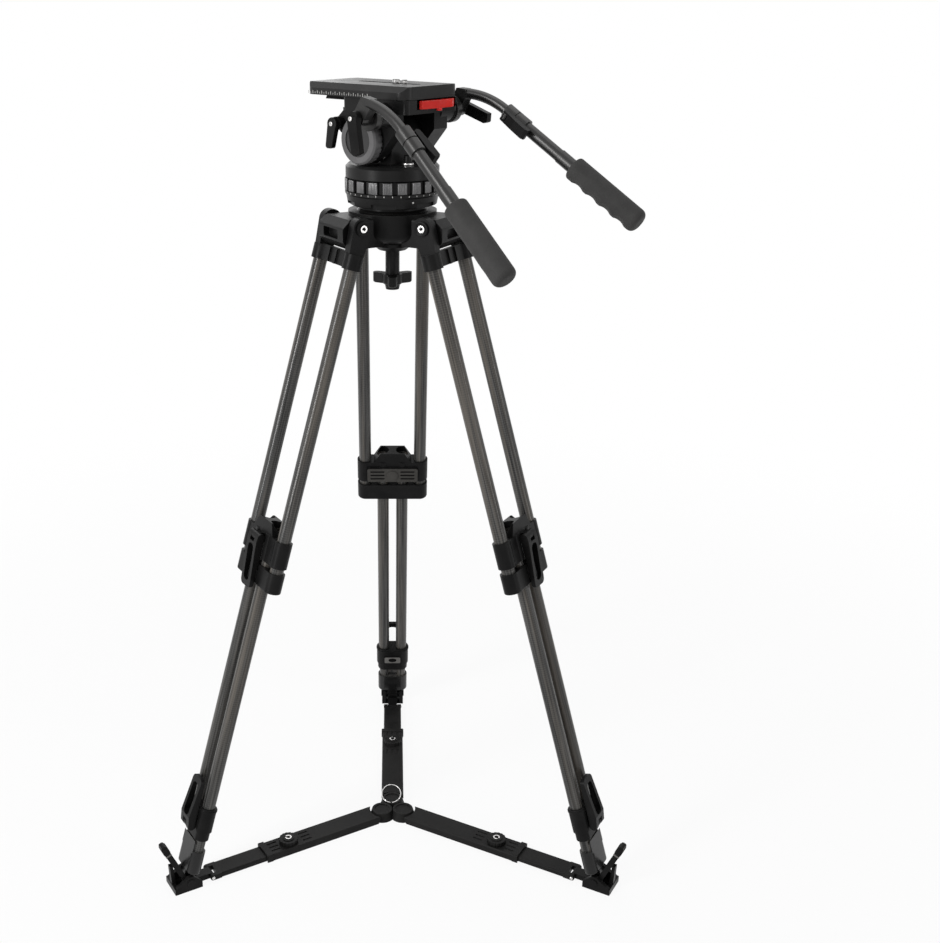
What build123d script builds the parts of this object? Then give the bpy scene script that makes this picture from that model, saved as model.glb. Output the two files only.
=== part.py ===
from build123d import *
import os
from math import acos, atan2, cos, radians, sin, sqrt

os.makedirs("parts", exist_ok=True)

# Fits between pieces (mm)
GLUE_FIT = 0.05      # radial gap of two pieces fixed together
PIN_FIT = 0.1        # radial gap of a pin in its eye
CLEAR = 0.3          # gap between sliding or turning pieces

# Stance of the three legs
LEGS = {"back": 0, "left": 120, "right": 240}
LEAN = 16.6          # degrees off the vertical
HINGE_R = 75.0       # hinge line to the tripod axis
LEG_LENGTH = 1016.0  # hinge line to the foot pivot
PIVOT_Z = 13.5       # foot pivot above the ground
HINGE_Z = PIVOT_Z + LEG_LENGTH * cos(radians(LEAN))
FOOT_R = HINGE_R + LEG_LENGTH * sin(radians(LEAN))

# Leg tubes and castings; stations run down the leg from the hinge line
PIN_R = 5.0
PIN_HEAD_R = 7.0
LUG_HALF = 35.8
EYE_R = 14.5
EYE_IN = 37.0
EYE_OUT = 51.0
UPPER_PITCH = 91.0
UPPER_R = 10.0
UPPER_BORE = 8.5
UPPER_TOP = 39.0
MID_PITCH = 32.0
MID_R = 9.8
MID_BORE = 8.6
MID_TOP = 443.0
LOWER_R = 8.2
LOWER_BORE = 6.8
LOWER_TOP = 573.0
SOCKET_R = 13.5
SOCKET_END = 57.0
WEB_TOP = 34.5
CLAMP_TOP = 433.0
COLLAR_TOP = 451.0
CLAMP_END = 489.5
GUIDE_TOP = 498.0
GUIDE_END = 528.0
COLLAR_R = 13.0
CLAMP_HALF = 12.0
LOW_CLAMP_END = LEG_LENGTH - 75.0
LOW_CLAMP_TOP = LOW_CLAMP_END - 53.0
LOW_COLLAR_R = 13.2
BRACKET_TOP = LEG_LENGTH - 55.0
BRACKET_END = LEG_LENGTH - 17.0
BRACKET_R = 11.0
LEVER_PIN_R = 2.5
UP_LEVER_Y = 20.0
UP_LEVER_S = CLAMP_TOP + 26.0
UP_LEVER_END = UP_LEVER_S + 77.0
UP_HEEL_R = UP_LEVER_Y - COLLAR_R - 1.0
LOW_LEVER_Y = 19.5
LOW_LEVER_S = LOW_CLAMP_TOP + 34.0
LOW_LEVER_END = LOW_LEVER_S - 76.0
LOW_HEEL_R = LOW_LEVER_Y - LOW_COLLAR_R - 0.4

# Foot shoe, latch and ground spreader
FOOT_PIN_R = 4.0
TONGUE_HALF = 8.5
CHEEK_IN = 13.2
CHEEK_OUT = 20.0
SHOE_INNER = -18.0
SHOE_OUTER = 26.0
LINK_Y = -37.5
LINK_PIN_R = 2.5
LINK_EYE_R = 4.25
LINK_GAP = 8.0       # end of the bar to the link pin
LATCH_LEAN = 24.0
LATCH_LENGTH = 78.0
FORK_IN = TONGUE_HALF + CLEAR
FORK_OUT = CHEEK_IN - CLEAR
BAR_HALF = 16.0
BAR_LOW = 1.2
BAR_TOP = 9.7
LINK_Z = BAR_TOP - LINK_EYE_R - PIVOT_Z
BAR_INNER = 141.0
BAR_OUTER = FOOT_R + LINK_Y - LINK_GAP
ARM_WALL = 2.2
ARM_INNER = 22.0
ARM_OUTER = 232.0
ARM_HALF = BAR_HALF + CLEAR + ARM_WALL
ARM_TOP = BAR_TOP + CLEAR + ARM_WALL
SPREAD_KNOB_Y = 192.0
SPREAD_KNOB_R = 15.0
LOBE_R = 16.5
LOBE_AT = 20.0
LOBE_DRAFT = 0.3076
HUB_HEIGHT = 14.0
HUB_GAP = 2.2

# Crown, bowl and levelling base; heights run up from the bowl's centre
BOWL_Z = HINGE_Z + 13.9
BALL_R = 50.0
BOWL_R = BALL_R + CLEAR
UNDER_R = 53.0
BOWL_HOLE_R = 22.0
DRUM_R = 62.0
BOLT_R = 5.0
CUP_R = 27.5
CUP_END = -56.0
CUP_PLAY = 5.0
KNOB_TOP = -57.5
KNOB_HEAD = -91.0
KNOB_END = -113.0
SPIGOT_R = 18.0
RING_LOW = 28.0
RING_HIGH = 44.2
BODY_LOW = 45.0
BODY_HIGH = 64.0
BODY_R = 65.0
FLANGE_R = BODY_R + 1.0
RING_R = BODY_R - 3.0
RING_WALL = 12.0
PAN_HUB_R = RING_R - RING_WALL

# Fluid head; X runs to the rear, Y to the right, measured from the pan axis
HEAD_YAW = -42.0
TILT_X = -4.0
TILT_Z = BOWL_Z + 98.0
SHAFT_R = 9.0
PEDESTAL_R = 31.0
PEDESTAL_HALF = 30.5
CHEEK_R = 32.0
LEFT_FACE = -50.0
RIGHT_FACE = 59.0
DECK_LOW = 36.0
DECK_HIGH = 54.0
DECK_FRONT = -45.0
DECK_REAR = 72.0
CHEEK_REAR = 52.0
CHEEK_FRONT = -41.0
DECK_HALF = 52.0
ROSETTE_X = 34.0
ROSETTE_DZ = 34.0
ROSETTE_Y = 76.0
ROSETTE_R = 16.0
DIAL_R = 32.0
DIAL_IN = -51.0
DIAL_OUT = -66.0
BRAKE_X = -49.0
BRAKE_DZ = 19.0
PLATE_LENGTH = 184.0
PLATE_WIDTH = 112.0
PLATE_X = -20.0
PLATE_LOW = 54.5
PLATE_EDGE = 63.5
PLATE_HIGH = 71.0
SLOT_X = 13.5         # slot and screws from the plate's middle
SLOT_LENGTH = 111.0
LARGE_SCREW_X = 26.6
SMALL_SCREW_X = 42.2
SCREW_OUT = 5.0       # camera screw above the plate
TONGUE_W = 20.0
TONGUE_FLARE = 4.0
TONGUE_DEEP = 7.5
LOCK_X = 66.0
LOCK_Y = 38.0
POST_X = 37.0
POST_Y = -10.0

# Pan bars; lengths run along the bar from the end of the bend
WING_R = 4.0
ROD_R = 7.0
ROD_Y = 22.0
NECK_OUT = ROD_Y + ROD_R + 0.5
SPLAY = 6.0
BEND_R = 123.0
BEND_TURN = -28.2
SPIGOT_LENGTH = 110.0
TUBE_R = 8.5
TUBE_BORE = ROD_R + CLEAR
COLLAR_BAR_R = 11.0
BAR_LEVER_Y = COLLAR_BAR_R + 5.5
BAR_LEVER_Z = 11.0
BAR_HEEL_R = 5.0
GRIP_FROM = 128.0
GRIP_LENGTH = 120.0
GRIP_R = 16.5
NEAR_DROP = 8.0
FAR_WING = -55.0     # degrees that the far wing screw is turned to the rear


def leg_place(turn):
    """Leg frame: hinge axis along X, outward along Y, up the leg along Z."""
    lean = Location((0, HINGE_R, HINGE_Z), (LEAN, 0, 0))
    return Location((0, 0, 0), (0, 0, turn)) * lean


def foot_place(turn):
    """Foot frame: level, at the foot pivot, outward along Y."""
    return Location((0, 0, 0), (0, 0, turn)) * Location((0, FOOT_R, PIVOT_Z))


def spoke_place(turn):
    """Spreader frame: on the ground at the tripod axis, outward along Y."""
    return Location((0, 0, 0), (0, 0, turn))


def keep(piece, name):
    """Label a finished piece and write it."""
    piece.label = name
    export_step(piece, f"parts/{name}.step")


def on_sphere(radius, r):
    """Point of a bowl's section at distance r from its axis."""
    return (r, -sqrt(radius ** 2 - r ** 2))


def tangent_point(x, z, radius, side):
    """Where a line from (x, z) touches a circle about the origin."""
    angle = atan2(z, x) + side * acos(radius / sqrt(x * x + z * z))
    return (radius * cos(angle), radius * sin(angle))


bowl_section = Plane(origin=(0, 0, BOWL_Z), x_dir=(1, 0, 0), z_dir=(0, -1, 0))
tilt_section = Plane(origin=(TILT_X, 0, TILT_Z), x_dir=(1, 0, 0), z_dir=(0, -1, 0))
head_place = Location((0, 0, 0), (0, 0, HEAD_YAW))

# One lug of the crown, for the back leg
with BuildPart() as lug:
    with BuildSketch(Plane.YZ.offset(-LUG_HALF)):
        with BuildLine():
            Polyline((35, BOWL_Z - 44), (88, BOWL_Z - 44), (98, BOWL_Z - 33), (98, BOWL_Z - 15),
                     (86, BOWL_Z - 4), (35, BOWL_Z - 4), close=True)
        make_face()
    extrude(amount=2 * LUG_HALF)
    fillet(lug.edges().filter_by(Axis.X).group_by(Axis.Y)[-1], 4)
    fillet(lug.faces().sort_by(Axis.Z)[-1].edges().filter_by(Axis.Y), 5)
    # pocket in the outer face between two ribs
    with BuildSketch(Plane.XZ.offset(-98)):
        with Locations((0, BOWL_Z - 24)):
            RectangleRounded(42, 13, 3)
    extrude(amount=9, mode=Mode.SUBTRACT)

# Crown casting with the bowl
with BuildPart() as crown:
    with BuildSketch(bowl_section):
        with BuildLine():
            under_z = on_sphere(UNDER_R, 36)[1]
            Polyline((0, 0), (DRUM_R, 0), (DRUM_R, -26))
            ThreePointArc((DRUM_R, -26), (56, -36), (45, under_z))
            Polyline((45, under_z), (36, under_z))
            ThreePointArc(on_sphere(UNDER_R, 36), on_sphere(UNDER_R, 29), on_sphere(UNDER_R, BOWL_HOLE_R))
            Polyline(on_sphere(UNDER_R, BOWL_HOLE_R), (0, on_sphere(UNDER_R, BOWL_HOLE_R)[1]), (0, 0))
        make_face()
    revolve(axis=Axis.Z)
    with PolarLocations(0, 3):
        add(lug.part)
    with BuildSketch(bowl_section):
        with BuildLine():
            Polyline((0, 1), (BOWL_R, 1), (BOWL_R, 0))
            ThreePointArc((BOWL_R, 0), on_sphere(BOWL_R, 38), on_sphere(BOWL_R, BOWL_HOLE_R))
            Polyline(on_sphere(BOWL_R, BOWL_HOLE_R), (BOWL_HOLE_R, -60), (0, -60), (0, 1))
        make_face()
    revolve(axis=Axis.Z, mode=Mode.SUBTRACT)
    with PolarLocations(HINGE_R, 3, start_angle=90):
        with Locations((0, 0, HINGE_Z)):
            Cylinder(PIN_R + GLUE_FIT, 4 * LUG_HALF, rotation=(90, 0, 0), mode=Mode.SUBTRACT)
keep(crown.part, "crown")

# Hinge pins, two for each leg, with round heads outside the eyes
with BuildPart() as leg_hinge_pins:
    with BuildSketch(Plane.YZ.offset(8)):
        with Locations((HINGE_R, HINGE_Z)):
            Circle(PIN_R)
    extrude(amount=EYE_OUT + CLEAR - 8)
    with BuildSketch(Plane.YZ.offset(EYE_OUT + CLEAR)):
        with Locations((HINGE_R, HINGE_Z)):
            Circle(PIN_HEAD_R)
    extrude(amount=2.6)
    with BuildSketch(Plane.YZ.offset(EYE_OUT + CLEAR + 2.6)):
        with Locations((HINGE_R, HINGE_Z)):
            RegularPolygon(3.2, 6)
    extrude(amount=-2, mode=Mode.SUBTRACT)
    mirror(about=Plane.YZ)
pin_pair = leg_hinge_pins.part
with BuildPart() as all_pins:
    with PolarLocations(0, 3):
        add(pin_pair)
keep(all_pins.part, "leg_hinge_pins")

# Dished cup that clamps the bowl from below, with a slot for the bolt
with BuildPart() as clamp_cup:
    with BuildSketch(bowl_section):
        with BuildLine():
            cup_r = UNDER_R + CLEAR
            ThreePointArc(on_sphere(cup_r, CUP_R), on_sphere(cup_r, 15), (0, -cup_r))
            Polyline((0, -cup_r), (0, CUP_END), (20, CUP_END), (CUP_R, CUP_END + 6), on_sphere(cup_r, CUP_R))
        make_face()
    revolve(axis=Axis.Z)
    with BuildSketch(Plane.XY.offset(BOWL_Z + CUP_END)):
        SlotOverall(2 * (BOLT_R + CLEAR + CUP_PLAY), 2 * (BOLT_R + CLEAR))
    extrude(amount=12, mode=Mode.SUBTRACT)
keep(clamp_cup.part, "clamp_cup")

# Tie-down knob: shank, hub and three swept wings
with BuildPart() as tie_down_knob:
    with BuildSketch(Plane.XY.offset(BOWL_Z + KNOB_HEAD)):
        Circle(10)
    extrude(amount=KNOB_TOP - KNOB_HEAD)
    with BuildSketch(Plane.XY.offset(BOWL_Z + KNOB_HEAD)):
        Circle(14)
        with PolarLocations(16, 3, start_angle=-90):
            SlotOverall(30, 13)
    extrude(amount=-15)
    fillet(tie_down_knob.faces().sort_by(Axis.Z)[0].edges(), 3)
    with BuildSketch(Plane.XY.offset(BOWL_Z + KNOB_HEAD - 15)):
        Circle(11)
    extrude(amount=KNOB_END - KNOB_HEAD + 15, taper=12)
    with BuildSketch(Plane.XY.offset(BOWL_Z + KNOB_TOP)):
        Circle(BOLT_R + CLEAR)
    extrude(amount=-50, mode=Mode.SUBTRACT)
keep(tie_down_knob.part, "tie_down_knob")

# Half ball with its flange, pan spindle and tie-down bolt
with BuildPart() as levelling_base:
    with BuildSketch(bowl_section):
        with BuildLine():
            Polyline((0, -40), (30, -40))
            ThreePointArc((30, -40), on_sphere(BALL_R, 42), (BALL_R, 0))
            Polyline((BALL_R, 0), (46, 3), (46, 7.6), (FLANGE_R - 8, 7.6), (FLANGE_R - 4, 9),
                     (FLANGE_R - 1.5, 22), (FLANGE_R, 24), (FLANGE_R, 27.5), (PAN_HUB_R, 27.5),
                     (PAN_HUB_R, RING_HIGH + CLEAR), (SPIGOT_R, RING_HIGH + CLEAR), (SPIGOT_R, 58), (0, 58),
                     (0, -40))
        make_face()
    revolve(axis=Axis.Z)
    with BuildSketch(Plane.XY.offset(BOWL_Z - 40)):
        Circle(BOLT_R)
    extrude(amount=-65)
    # finger notches round the bottom of the flange
    with PolarLocations(FLANGE_R - 5, 6, start_angle=18):
        with Locations((0, 0, BOWL_Z + 10)):
            Box(8, 34, 9, mode=Mode.SUBTRACT)
keep(levelling_base.part, "levelling_base")

# Pan drag ring with its grip lugs
with BuildPart() as pan_drag_ring:
    with BuildSketch(Plane.XY.offset(BOWL_Z + RING_LOW)):
        Circle(RING_R)
        with PolarLocations(RING_R + 0.4, 20):
            Rectangle(6, 14)
        Circle(PAN_HUB_R + CLEAR, mode=Mode.SUBTRACT)
    extrude(amount=RING_HIGH - RING_LOW)
    chamfer(pan_drag_ring.edges().filter_by(Axis.Z).filter_by(lambda e: e.center().length > 0
            and sqrt(e.center().X ** 2 + e.center().Y ** 2) > RING_R + 2), 1.2)
keep(head_place * pan_drag_ring.part, "pan_drag_ring")

# Pan body: drum cap, pedestal and tilt shaft
with BuildPart() as head_body:
    with BuildSketch(bowl_section):
        with BuildLine():
            Polyline((SPIGOT_R + CLEAR, BODY_LOW), (BODY_R - 1, BODY_LOW), (BODY_R, BODY_LOW + 1),
                     (BODY_R, BODY_HIGH - 4), (BODY_R - 4, BODY_HIGH), (0, BODY_HIGH), (0, 58 + CLEAR),
                     (SPIGOT_R + CLEAR, 58 + CLEAR), close=True)
        make_face()
    revolve(axis=Axis.Z)
    with BuildSketch(tilt_section) as pedestal:
        Circle(PEDESTAL_R)
        with BuildLine():
            Polyline((-PEDESTAL_R, 0), (-PEDESTAL_R - 6, -36), (PEDESTAL_R - 2, -36), (PEDESTAL_R, 0), close=True)
        make_face()
    extrude(amount=PEDESTAL_HALF, both=True)
    with BuildSketch(tilt_section.offset(-RIGHT_FACE + 1)):
        Circle(SHAFT_R)
    extrude(amount=RIGHT_FACE - 1 - DIAL_IN + 6)
    with Locations((POST_X, POST_Y, BOWL_Z + BODY_HIGH)):
        Cylinder(3 + CLEAR, 12, mode=Mode.SUBTRACT)
keep(head_place * head_body.part, "head_body")

# Pan brake knob standing on the drum cap
with BuildPart() as pan_brake_knob:
    with Locations((POST_X, POST_Y, BOWL_Z + BODY_HIGH + CLEAR)):
        Cylinder(7.5, 2.4, align=(Align.CENTER, Align.CENTER, Align.MIN))
        Cylinder(5.5, 13, align=(Align.CENTER, Align.CENTER, Align.MIN))
        Cylinder(3, 5, align=(Align.CENTER, Align.CENTER, Align.MAX))
    fillet(pan_brake_knob.faces().sort_by(Axis.Z)[-1].edges(), 1.5)
keep(head_place * pan_brake_knob.part, "pan_brake_knob")

# Tilt platform: two cheeks round the pedestal, deck with dovetail groove, rosette bosses
rear_touch = tangent_point(CHEEK_REAR, 11, CHEEK_R, -1)
front_touch = tangent_point(CHEEK_FRONT, DECK_LOW, CHEEK_R, 1)
with BuildPart() as tilt_platform:
    with BuildSketch(tilt_section.offset(PEDESTAL_HALF + 1)):
        Circle(CHEEK_R)
        with BuildLine():
            Polyline((CHEEK_REAR, DECK_LOW + 4), (CHEEK_REAR, 11), rear_touch, front_touch,
                     (CHEEK_FRONT, DECK_LOW), (CHEEK_FRONT, DECK_LOW + 4), close=True)
        make_face()
        with BuildLine():
            Polyline((-30, 36), (-41, 36), (-52, 26), (-53, 14), (-46, 7), (-30, 0), close=True)
        make_face()
    extrude(amount=-LEFT_FACE - PEDESTAL_HALF - 1)
    with BuildSketch(tilt_section.offset(-PEDESTAL_HALF - 1)):
        Circle(CHEEK_R)
        with BuildLine():
            Polyline((CHEEK_REAR, DECK_LOW + 4), (CHEEK_REAR, 11), rear_touch, front_touch,
                     (CHEEK_FRONT, DECK_LOW), (CHEEK_FRONT, DECK_LOW + 4), close=True)
        make_face()
    extrude(amount=-(RIGHT_FACE - PEDESTAL_HALF - 1))
    with BuildSketch(Plane.XY.offset(TILT_Z + DECK_LOW)):
        with Locations(((DECK_FRONT + DECK_REAR) / 2, 0)):
            RectangleRounded(DECK_REAR - DECK_FRONT, 2 * DECK_HALF, 7)
    extrude(amount=DECK_HIGH - DECK_LOW)
    # rosette bosses for the two pan bars
    with BuildSketch(Plane.XZ.offset(45)):
        with Locations((ROSETTE_X, TILT_Z + ROSETTE_DZ)):
            Circle(ROSETTE_R)
    extrude(amount=ROSETTE_Y - 45)
    with BuildSketch(Plane.XZ.offset(-45)):
        with Locations((ROSETTE_X, TILT_Z + ROSETTE_DZ)):
            Circle(ROSETTE_R)
    extrude(amount=-(ROSETTE_Y - 45))
    # boss of the tilt brake
    with BuildSketch(Plane.XZ.offset(-LEFT_FACE - 6)):
        with Locations((BRAKE_X, TILT_Z + BRAKE_DZ)):
            Circle(9)
    extrude(amount=17)
    # dovetail groove and the recess of the plate lock
    with BuildSketch(Plane.YZ.offset(DECK_FRONT - 1)):
        with BuildLine():
            Polyline((-TONGUE_W - CLEAR, TILT_Z + DECK_HIGH), (TONGUE_W + CLEAR, TILT_Z + DECK_HIGH),
                     (TONGUE_W + TONGUE_FLARE + CLEAR, TILT_Z + DECK_HIGH - TONGUE_DEEP),
                     (-TONGUE_W - TONGUE_FLARE - CLEAR, TILT_Z + DECK_HIGH - TONGUE_DEEP), close=True)
        make_face()
    extrude(amount=DECK_REAR - DECK_FRONT - 9, mode=Mode.SUBTRACT)
    with Locations((58, LOCK_Y + 10, TILT_Z + DECK_HIGH - 12.5)):
        Box(30, 80, 30, align=(Align.MIN, Align.MAX, Align.MIN), mode=Mode.SUBTRACT)
    with Locations((LOCK_X, LOCK_Y, TILT_Z + DECK_HIGH - 13)):
        Cylinder(3, 11.5, align=(Align.CENTER, Align.CENTER, Align.MIN))
    # bores of the tilt shaft, the wing screws and the brake
    with Locations((TILT_X, 0, TILT_Z)):
        Cylinder(SHAFT_R + PIN_FIT, 200, rotation=(90, 0, 0), mode=Mode.SUBTRACT)
    for side in (-1, 1):
        with Locations((ROSETTE_X, side * (ROSETTE_Y - 12), TILT_Z + ROSETTE_DZ)):
            Cylinder(WING_R + CLEAR, 26, rotation=(90, 0, 0), mode=Mode.SUBTRACT)
    with Locations((BRAKE_X, LEFT_FACE - 3, TILT_Z + BRAKE_DZ)):
        Cylinder(3 + PIN_FIT, 26, rotation=(90, 0, 0), mode=Mode.SUBTRACT)
keep(head_place * tilt_platform.part, "tilt_platform")

# Tilt drag dial on the left end of the shaft
with BuildPart() as tilt_drag_dial:
    with BuildSketch(tilt_section.offset(-DIAL_IN)):
        Circle(DIAL_R)
    extrude(amount=DIAL_IN - DIAL_OUT)
    chamfer(tilt_drag_dial.faces().sort_by(Axis.Y)[0].edges(), 2.5)
    with BuildSketch(tilt_section.offset(-DIAL_OUT)):
        Circle(22)
    extrude(amount=-1.6, mode=Mode.SUBTRACT)
    with Locations((TILT_X, DIAL_IN, TILT_Z)):
        Cylinder(SHAFT_R + CLEAR, 14.6, rotation=(90, 0, 0), mode=Mode.SUBTRACT)
    with BuildSketch(tilt_section.offset(-DIAL_IN)):
        with PolarLocations(DIAL_R + 0.6, 24):
            Rectangle(3, 3)
    extrude(amount=9, mode=Mode.SUBTRACT)
keep(head_place * tilt_drag_dial.part, "tilt_drag_dial")

# Tilt brake lever hanging at the front left
with BuildPart() as tilt_brake_lever:
    with BuildSketch(Plane.XZ.offset(-LEFT_FACE + 11 + CLEAR)):
        with Locations((BRAKE_X, TILT_Z + BRAKE_DZ)):
            Circle(8.5)
        with BuildLine():
            grip_z = TILT_Z + BRAKE_DZ
            Polyline((BRAKE_X - 8, grip_z), (BRAKE_X + 8, grip_z), (BRAKE_X - 1, grip_z - 33),
                     (BRAKE_X - 13, grip_z - 33), close=True)
        make_face()
    extrude(amount=8)
    fillet(tilt_brake_lever.edges().filter_by(Axis.Y).group_by(Axis.Z)[0], 4)
    fillet(tilt_brake_lever.faces().sort_by(Axis.Y)[0].edges(), 1.2)
    with Locations((BRAKE_X, LEFT_FACE - 6, TILT_Z + BRAKE_DZ)):
        Cylinder(3, 18, rotation=(90, 0, 0))
keep(head_place * tilt_brake_lever.part, "tilt_brake_lever")

# Sliding camera plate with its slot and two camera screws
with BuildPart() as camera_plate:
    with BuildSketch(Plane.XY.offset(TILT_Z + PLATE_LOW)):
        with Locations((PLATE_X, 0)):
            RectangleRounded(PLATE_LENGTH, PLATE_WIDTH, 16)
    extrude(amount=PLATE_HIGH - PLATE_LOW)
    with BuildSketch(Plane.YZ.offset(PLATE_X - PLATE_LENGTH / 2)):
        with BuildLine():
            half = PLATE_WIDTH / 2
            Polyline((-half, TILT_Z + PLATE_LOW), (half, TILT_Z + PLATE_LOW), (half, TILT_Z + PLATE_EDGE),
                     (half - 9, TILT_Z + PLATE_HIGH), (9 - half, TILT_Z + PLATE_HIGH),
                     (-half, TILT_Z + PLATE_EDGE), close=True)
        make_face()
    extrude(amount=PLATE_LENGTH, mode=Mode.INTERSECT)
    with BuildSketch(Plane.YZ.offset(PLATE_X - PLATE_LENGTH / 2 + 8)):
        with BuildLine():
            Polyline((-TONGUE_W, TILT_Z + PLATE_LOW + 0.1), (TONGUE_W, TILT_Z + PLATE_LOW + 0.1),
                     (TONGUE_W, TILT_Z + DECK_HIGH),
                     (TONGUE_W + TONGUE_FLARE - CLEAR, TILT_Z + DECK_HIGH - TONGUE_DEEP + CLEAR),
                     (-TONGUE_W - TONGUE_FLARE + CLEAR, TILT_Z + DECK_HIGH - TONGUE_DEEP + CLEAR),
                     (-TONGUE_W, TILT_Z + DECK_HIGH), close=True)
        make_face()
    extrude(amount=120)
    with BuildSketch(Plane.XY.offset(TILT_Z + DECK_HIGH - TONGUE_DEEP)):
        with Locations((PLATE_X + SLOT_X, 0)):
            SlotOverall(SLOT_LENGTH, 10.2)
    extrude(amount=40, mode=Mode.SUBTRACT)
    with BuildSketch(Plane.XY.offset(TILT_Z + DECK_HIGH - TONGUE_DEEP)):
        with Locations((PLATE_X + SLOT_X, 0)):
            SlotOverall(SLOT_LENGTH + 8, 19)
    extrude(amount=15, mode=Mode.SUBTRACT)
    for screw_x, screw_r in ((PLATE_X + LARGE_SCREW_X, 4.76), (PLATE_X + SMALL_SCREW_X, 3.175)):
        with Locations((screw_x, 0, TILT_Z + PLATE_LOW + 2)):
            Cylinder(7.4, 5, align=(Align.CENTER, Align.CENTER, Align.MIN))
            Cylinder(screw_r - 0.4, PLATE_HIGH - PLATE_LOW - 2, align=(Align.CENTER, Align.CENTER, Align.MIN))
        with Locations((screw_x, 0, TILT_Z + PLATE_HIGH)):
            Cylinder(screw_r, SCREW_OUT, align=(Align.CENTER, Align.CENTER, Align.MIN))
keep(head_place * camera_plate.part, "camera_plate")

# Plate lock lever in the rear recess
with BuildPart() as plate_lock_lever:
    with BuildSketch(Plane.XY.offset(TILT_Z + DECK_HIGH - 12)):
        with BuildLine():
            Polyline((60, 42), (64, 46), (71, 45), (76, 36), (77, 8), (74, -24), (69.5, -27), (68, -20),
                     (67, 20), (60, 30), close=True)
        make_face()
        with Locations((LOCK_X, LOCK_Y)):
            Circle(3 + PIN_FIT, mode=Mode.SUBTRACT)
    extrude(amount=10.5)
    fillet(plate_lock_lever.edges().filter_by(Axis.Z).sort_by(Axis.Y)[:2], 1.8)
    chamfer(plate_lock_lever.faces().sort_by(Axis.Z)[-1].edges().sort_by(Axis.X)[-3:], 0.8)
keep(head_place * plate_lock_lever.part, "plate_lock_lever")

# Handle arm of the far bar: rosette, neck and bent rod; Y runs outwards from the rosette's face
bend_plane = Plane(origin=(0, ROD_Y, 0), x_dir=(cos(radians(SPLAY)), sin(radians(SPLAY)), 0),
                   z_dir=(sin(radians(SPLAY)), -cos(radians(SPLAY)), 0))
with BuildPart() as handle_arm:
    with BuildSketch(Plane.XZ.offset(-0.6)):
        Circle(18)
    extrude(amount=-10)
    with BuildSketch(Plane.XZ.offset(-6)):
        Circle(10.5)
    extrude(amount=-NECK_OUT + 6)
    with BuildSketch(Plane.XZ.offset(-ROD_Y + ROD_R)):
        with BuildLine():
            FilletPolyline((-9, 2), (8, -5), (19, 13.5), (19, 27), (3, 28), radius=2.5, close=True)
        make_face()
    extrude(amount=-NECK_OUT + ROD_Y - ROD_R)
    with BuildLine(bend_plane) as bend:
        lead = Line((6, 21.2), (22, 20))
        turn = JernArc(start=lead @ 1, tangent=lead % 1, radius=BEND_R, arc_size=BEND_TURN)
        tail = Line(turn @ 1, turn @ 1 + (turn % 1) * SPIGOT_LENGTH)
    with BuildSketch(Plane(origin=lead @ 0, z_dir=lead % 0)):
        Circle(ROD_R)
    sweep(path=bend.wires()[0])
    with Locations((0, 15, 0)):
        Cylinder(WING_R + CLEAR, 40, rotation=(90, 0, 0), mode=Mode.SUBTRACT)
bar_start = turn @ 1
bar_dir = turn % 1
bar_level = Vector(-sin(radians(SPLAY)), cos(radians(SPLAY)), 0)
bar_place = Plane(origin=bar_start, x_dir=bar_dir.cross(bar_level) * -1, z_dir=bar_dir).location

# Wing screw through the rosette, its lever hanging down
with BuildPart() as wing_screw:
    with BuildSketch(Plane.XZ.offset(22)):
        Circle(WING_R)
    extrude(amount=-53)
    with BuildSketch(Plane.XZ.offset(-30)):
        Circle(9)
    extrude(amount=-9)
    with BuildSketch(Plane.XZ.offset(-33)):
        with BuildLine():
            Polyline((-8, 2), (8, 4), (21, -40), (11, -46), (6, -42), close=True)
        make_face()
    extrude(amount=-9)
    fillet(wing_screw.edges().filter_by(Axis.Y).group_by(Axis.Z)[0], 3)

# Straight bar tube with its clamp collar; Z runs along the bar, X down, Y outwards
with BuildPart() as pan_bar_tube:
    with BuildSketch(Plane.XY.offset(2)):
        Circle(COLLAR_BAR_R)
    extrude(amount=18)
    with BuildSketch(Plane.XY.offset(20)):
        Circle(COLLAR_BAR_R - 1.2)
    extrude(amount=2)
    with BuildSketch(Plane.XY.offset(22)):
        Circle(COLLAR_BAR_R)
    extrude(amount=18)
    with BuildSketch(Plane.XY.offset(40)):
        Circle(TUBE_R)
    extrude(amount=GRIP_FROM + GRIP_LENGTH - 46)
    with BuildSketch(Plane.XY.offset(GRIP_FROM - 25)):
        Circle(TUBE_R + 1)
    extrude(amount=24)
    # ear of the clamp lever on the inner side
    with BuildSketch(Plane.YZ.offset(-4)):
        with Locations((-BAR_LEVER_Y, BAR_LEVER_Z)):
            Circle(4.8)
        with Locations((-BAR_LEVER_Y, BAR_LEVER_Z)):
            Rectangle(BAR_LEVER_Y - TUBE_R, 9.6, align=(Align.MIN, Align.CENTER))
    extrude(amount=8)
    with BuildSketch(Plane.XY.offset(2)):
        Circle(TUBE_BORE)
    extrude(amount=GRIP_FROM + GRIP_LENGTH, mode=Mode.SUBTRACT)
    with Locations((0, -BAR_LEVER_Y, BAR_LEVER_Z)):
        Cylinder(2 + PIN_FIT, 20, rotation=(0, 90, 0), mode=Mode.SUBTRACT)

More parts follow.
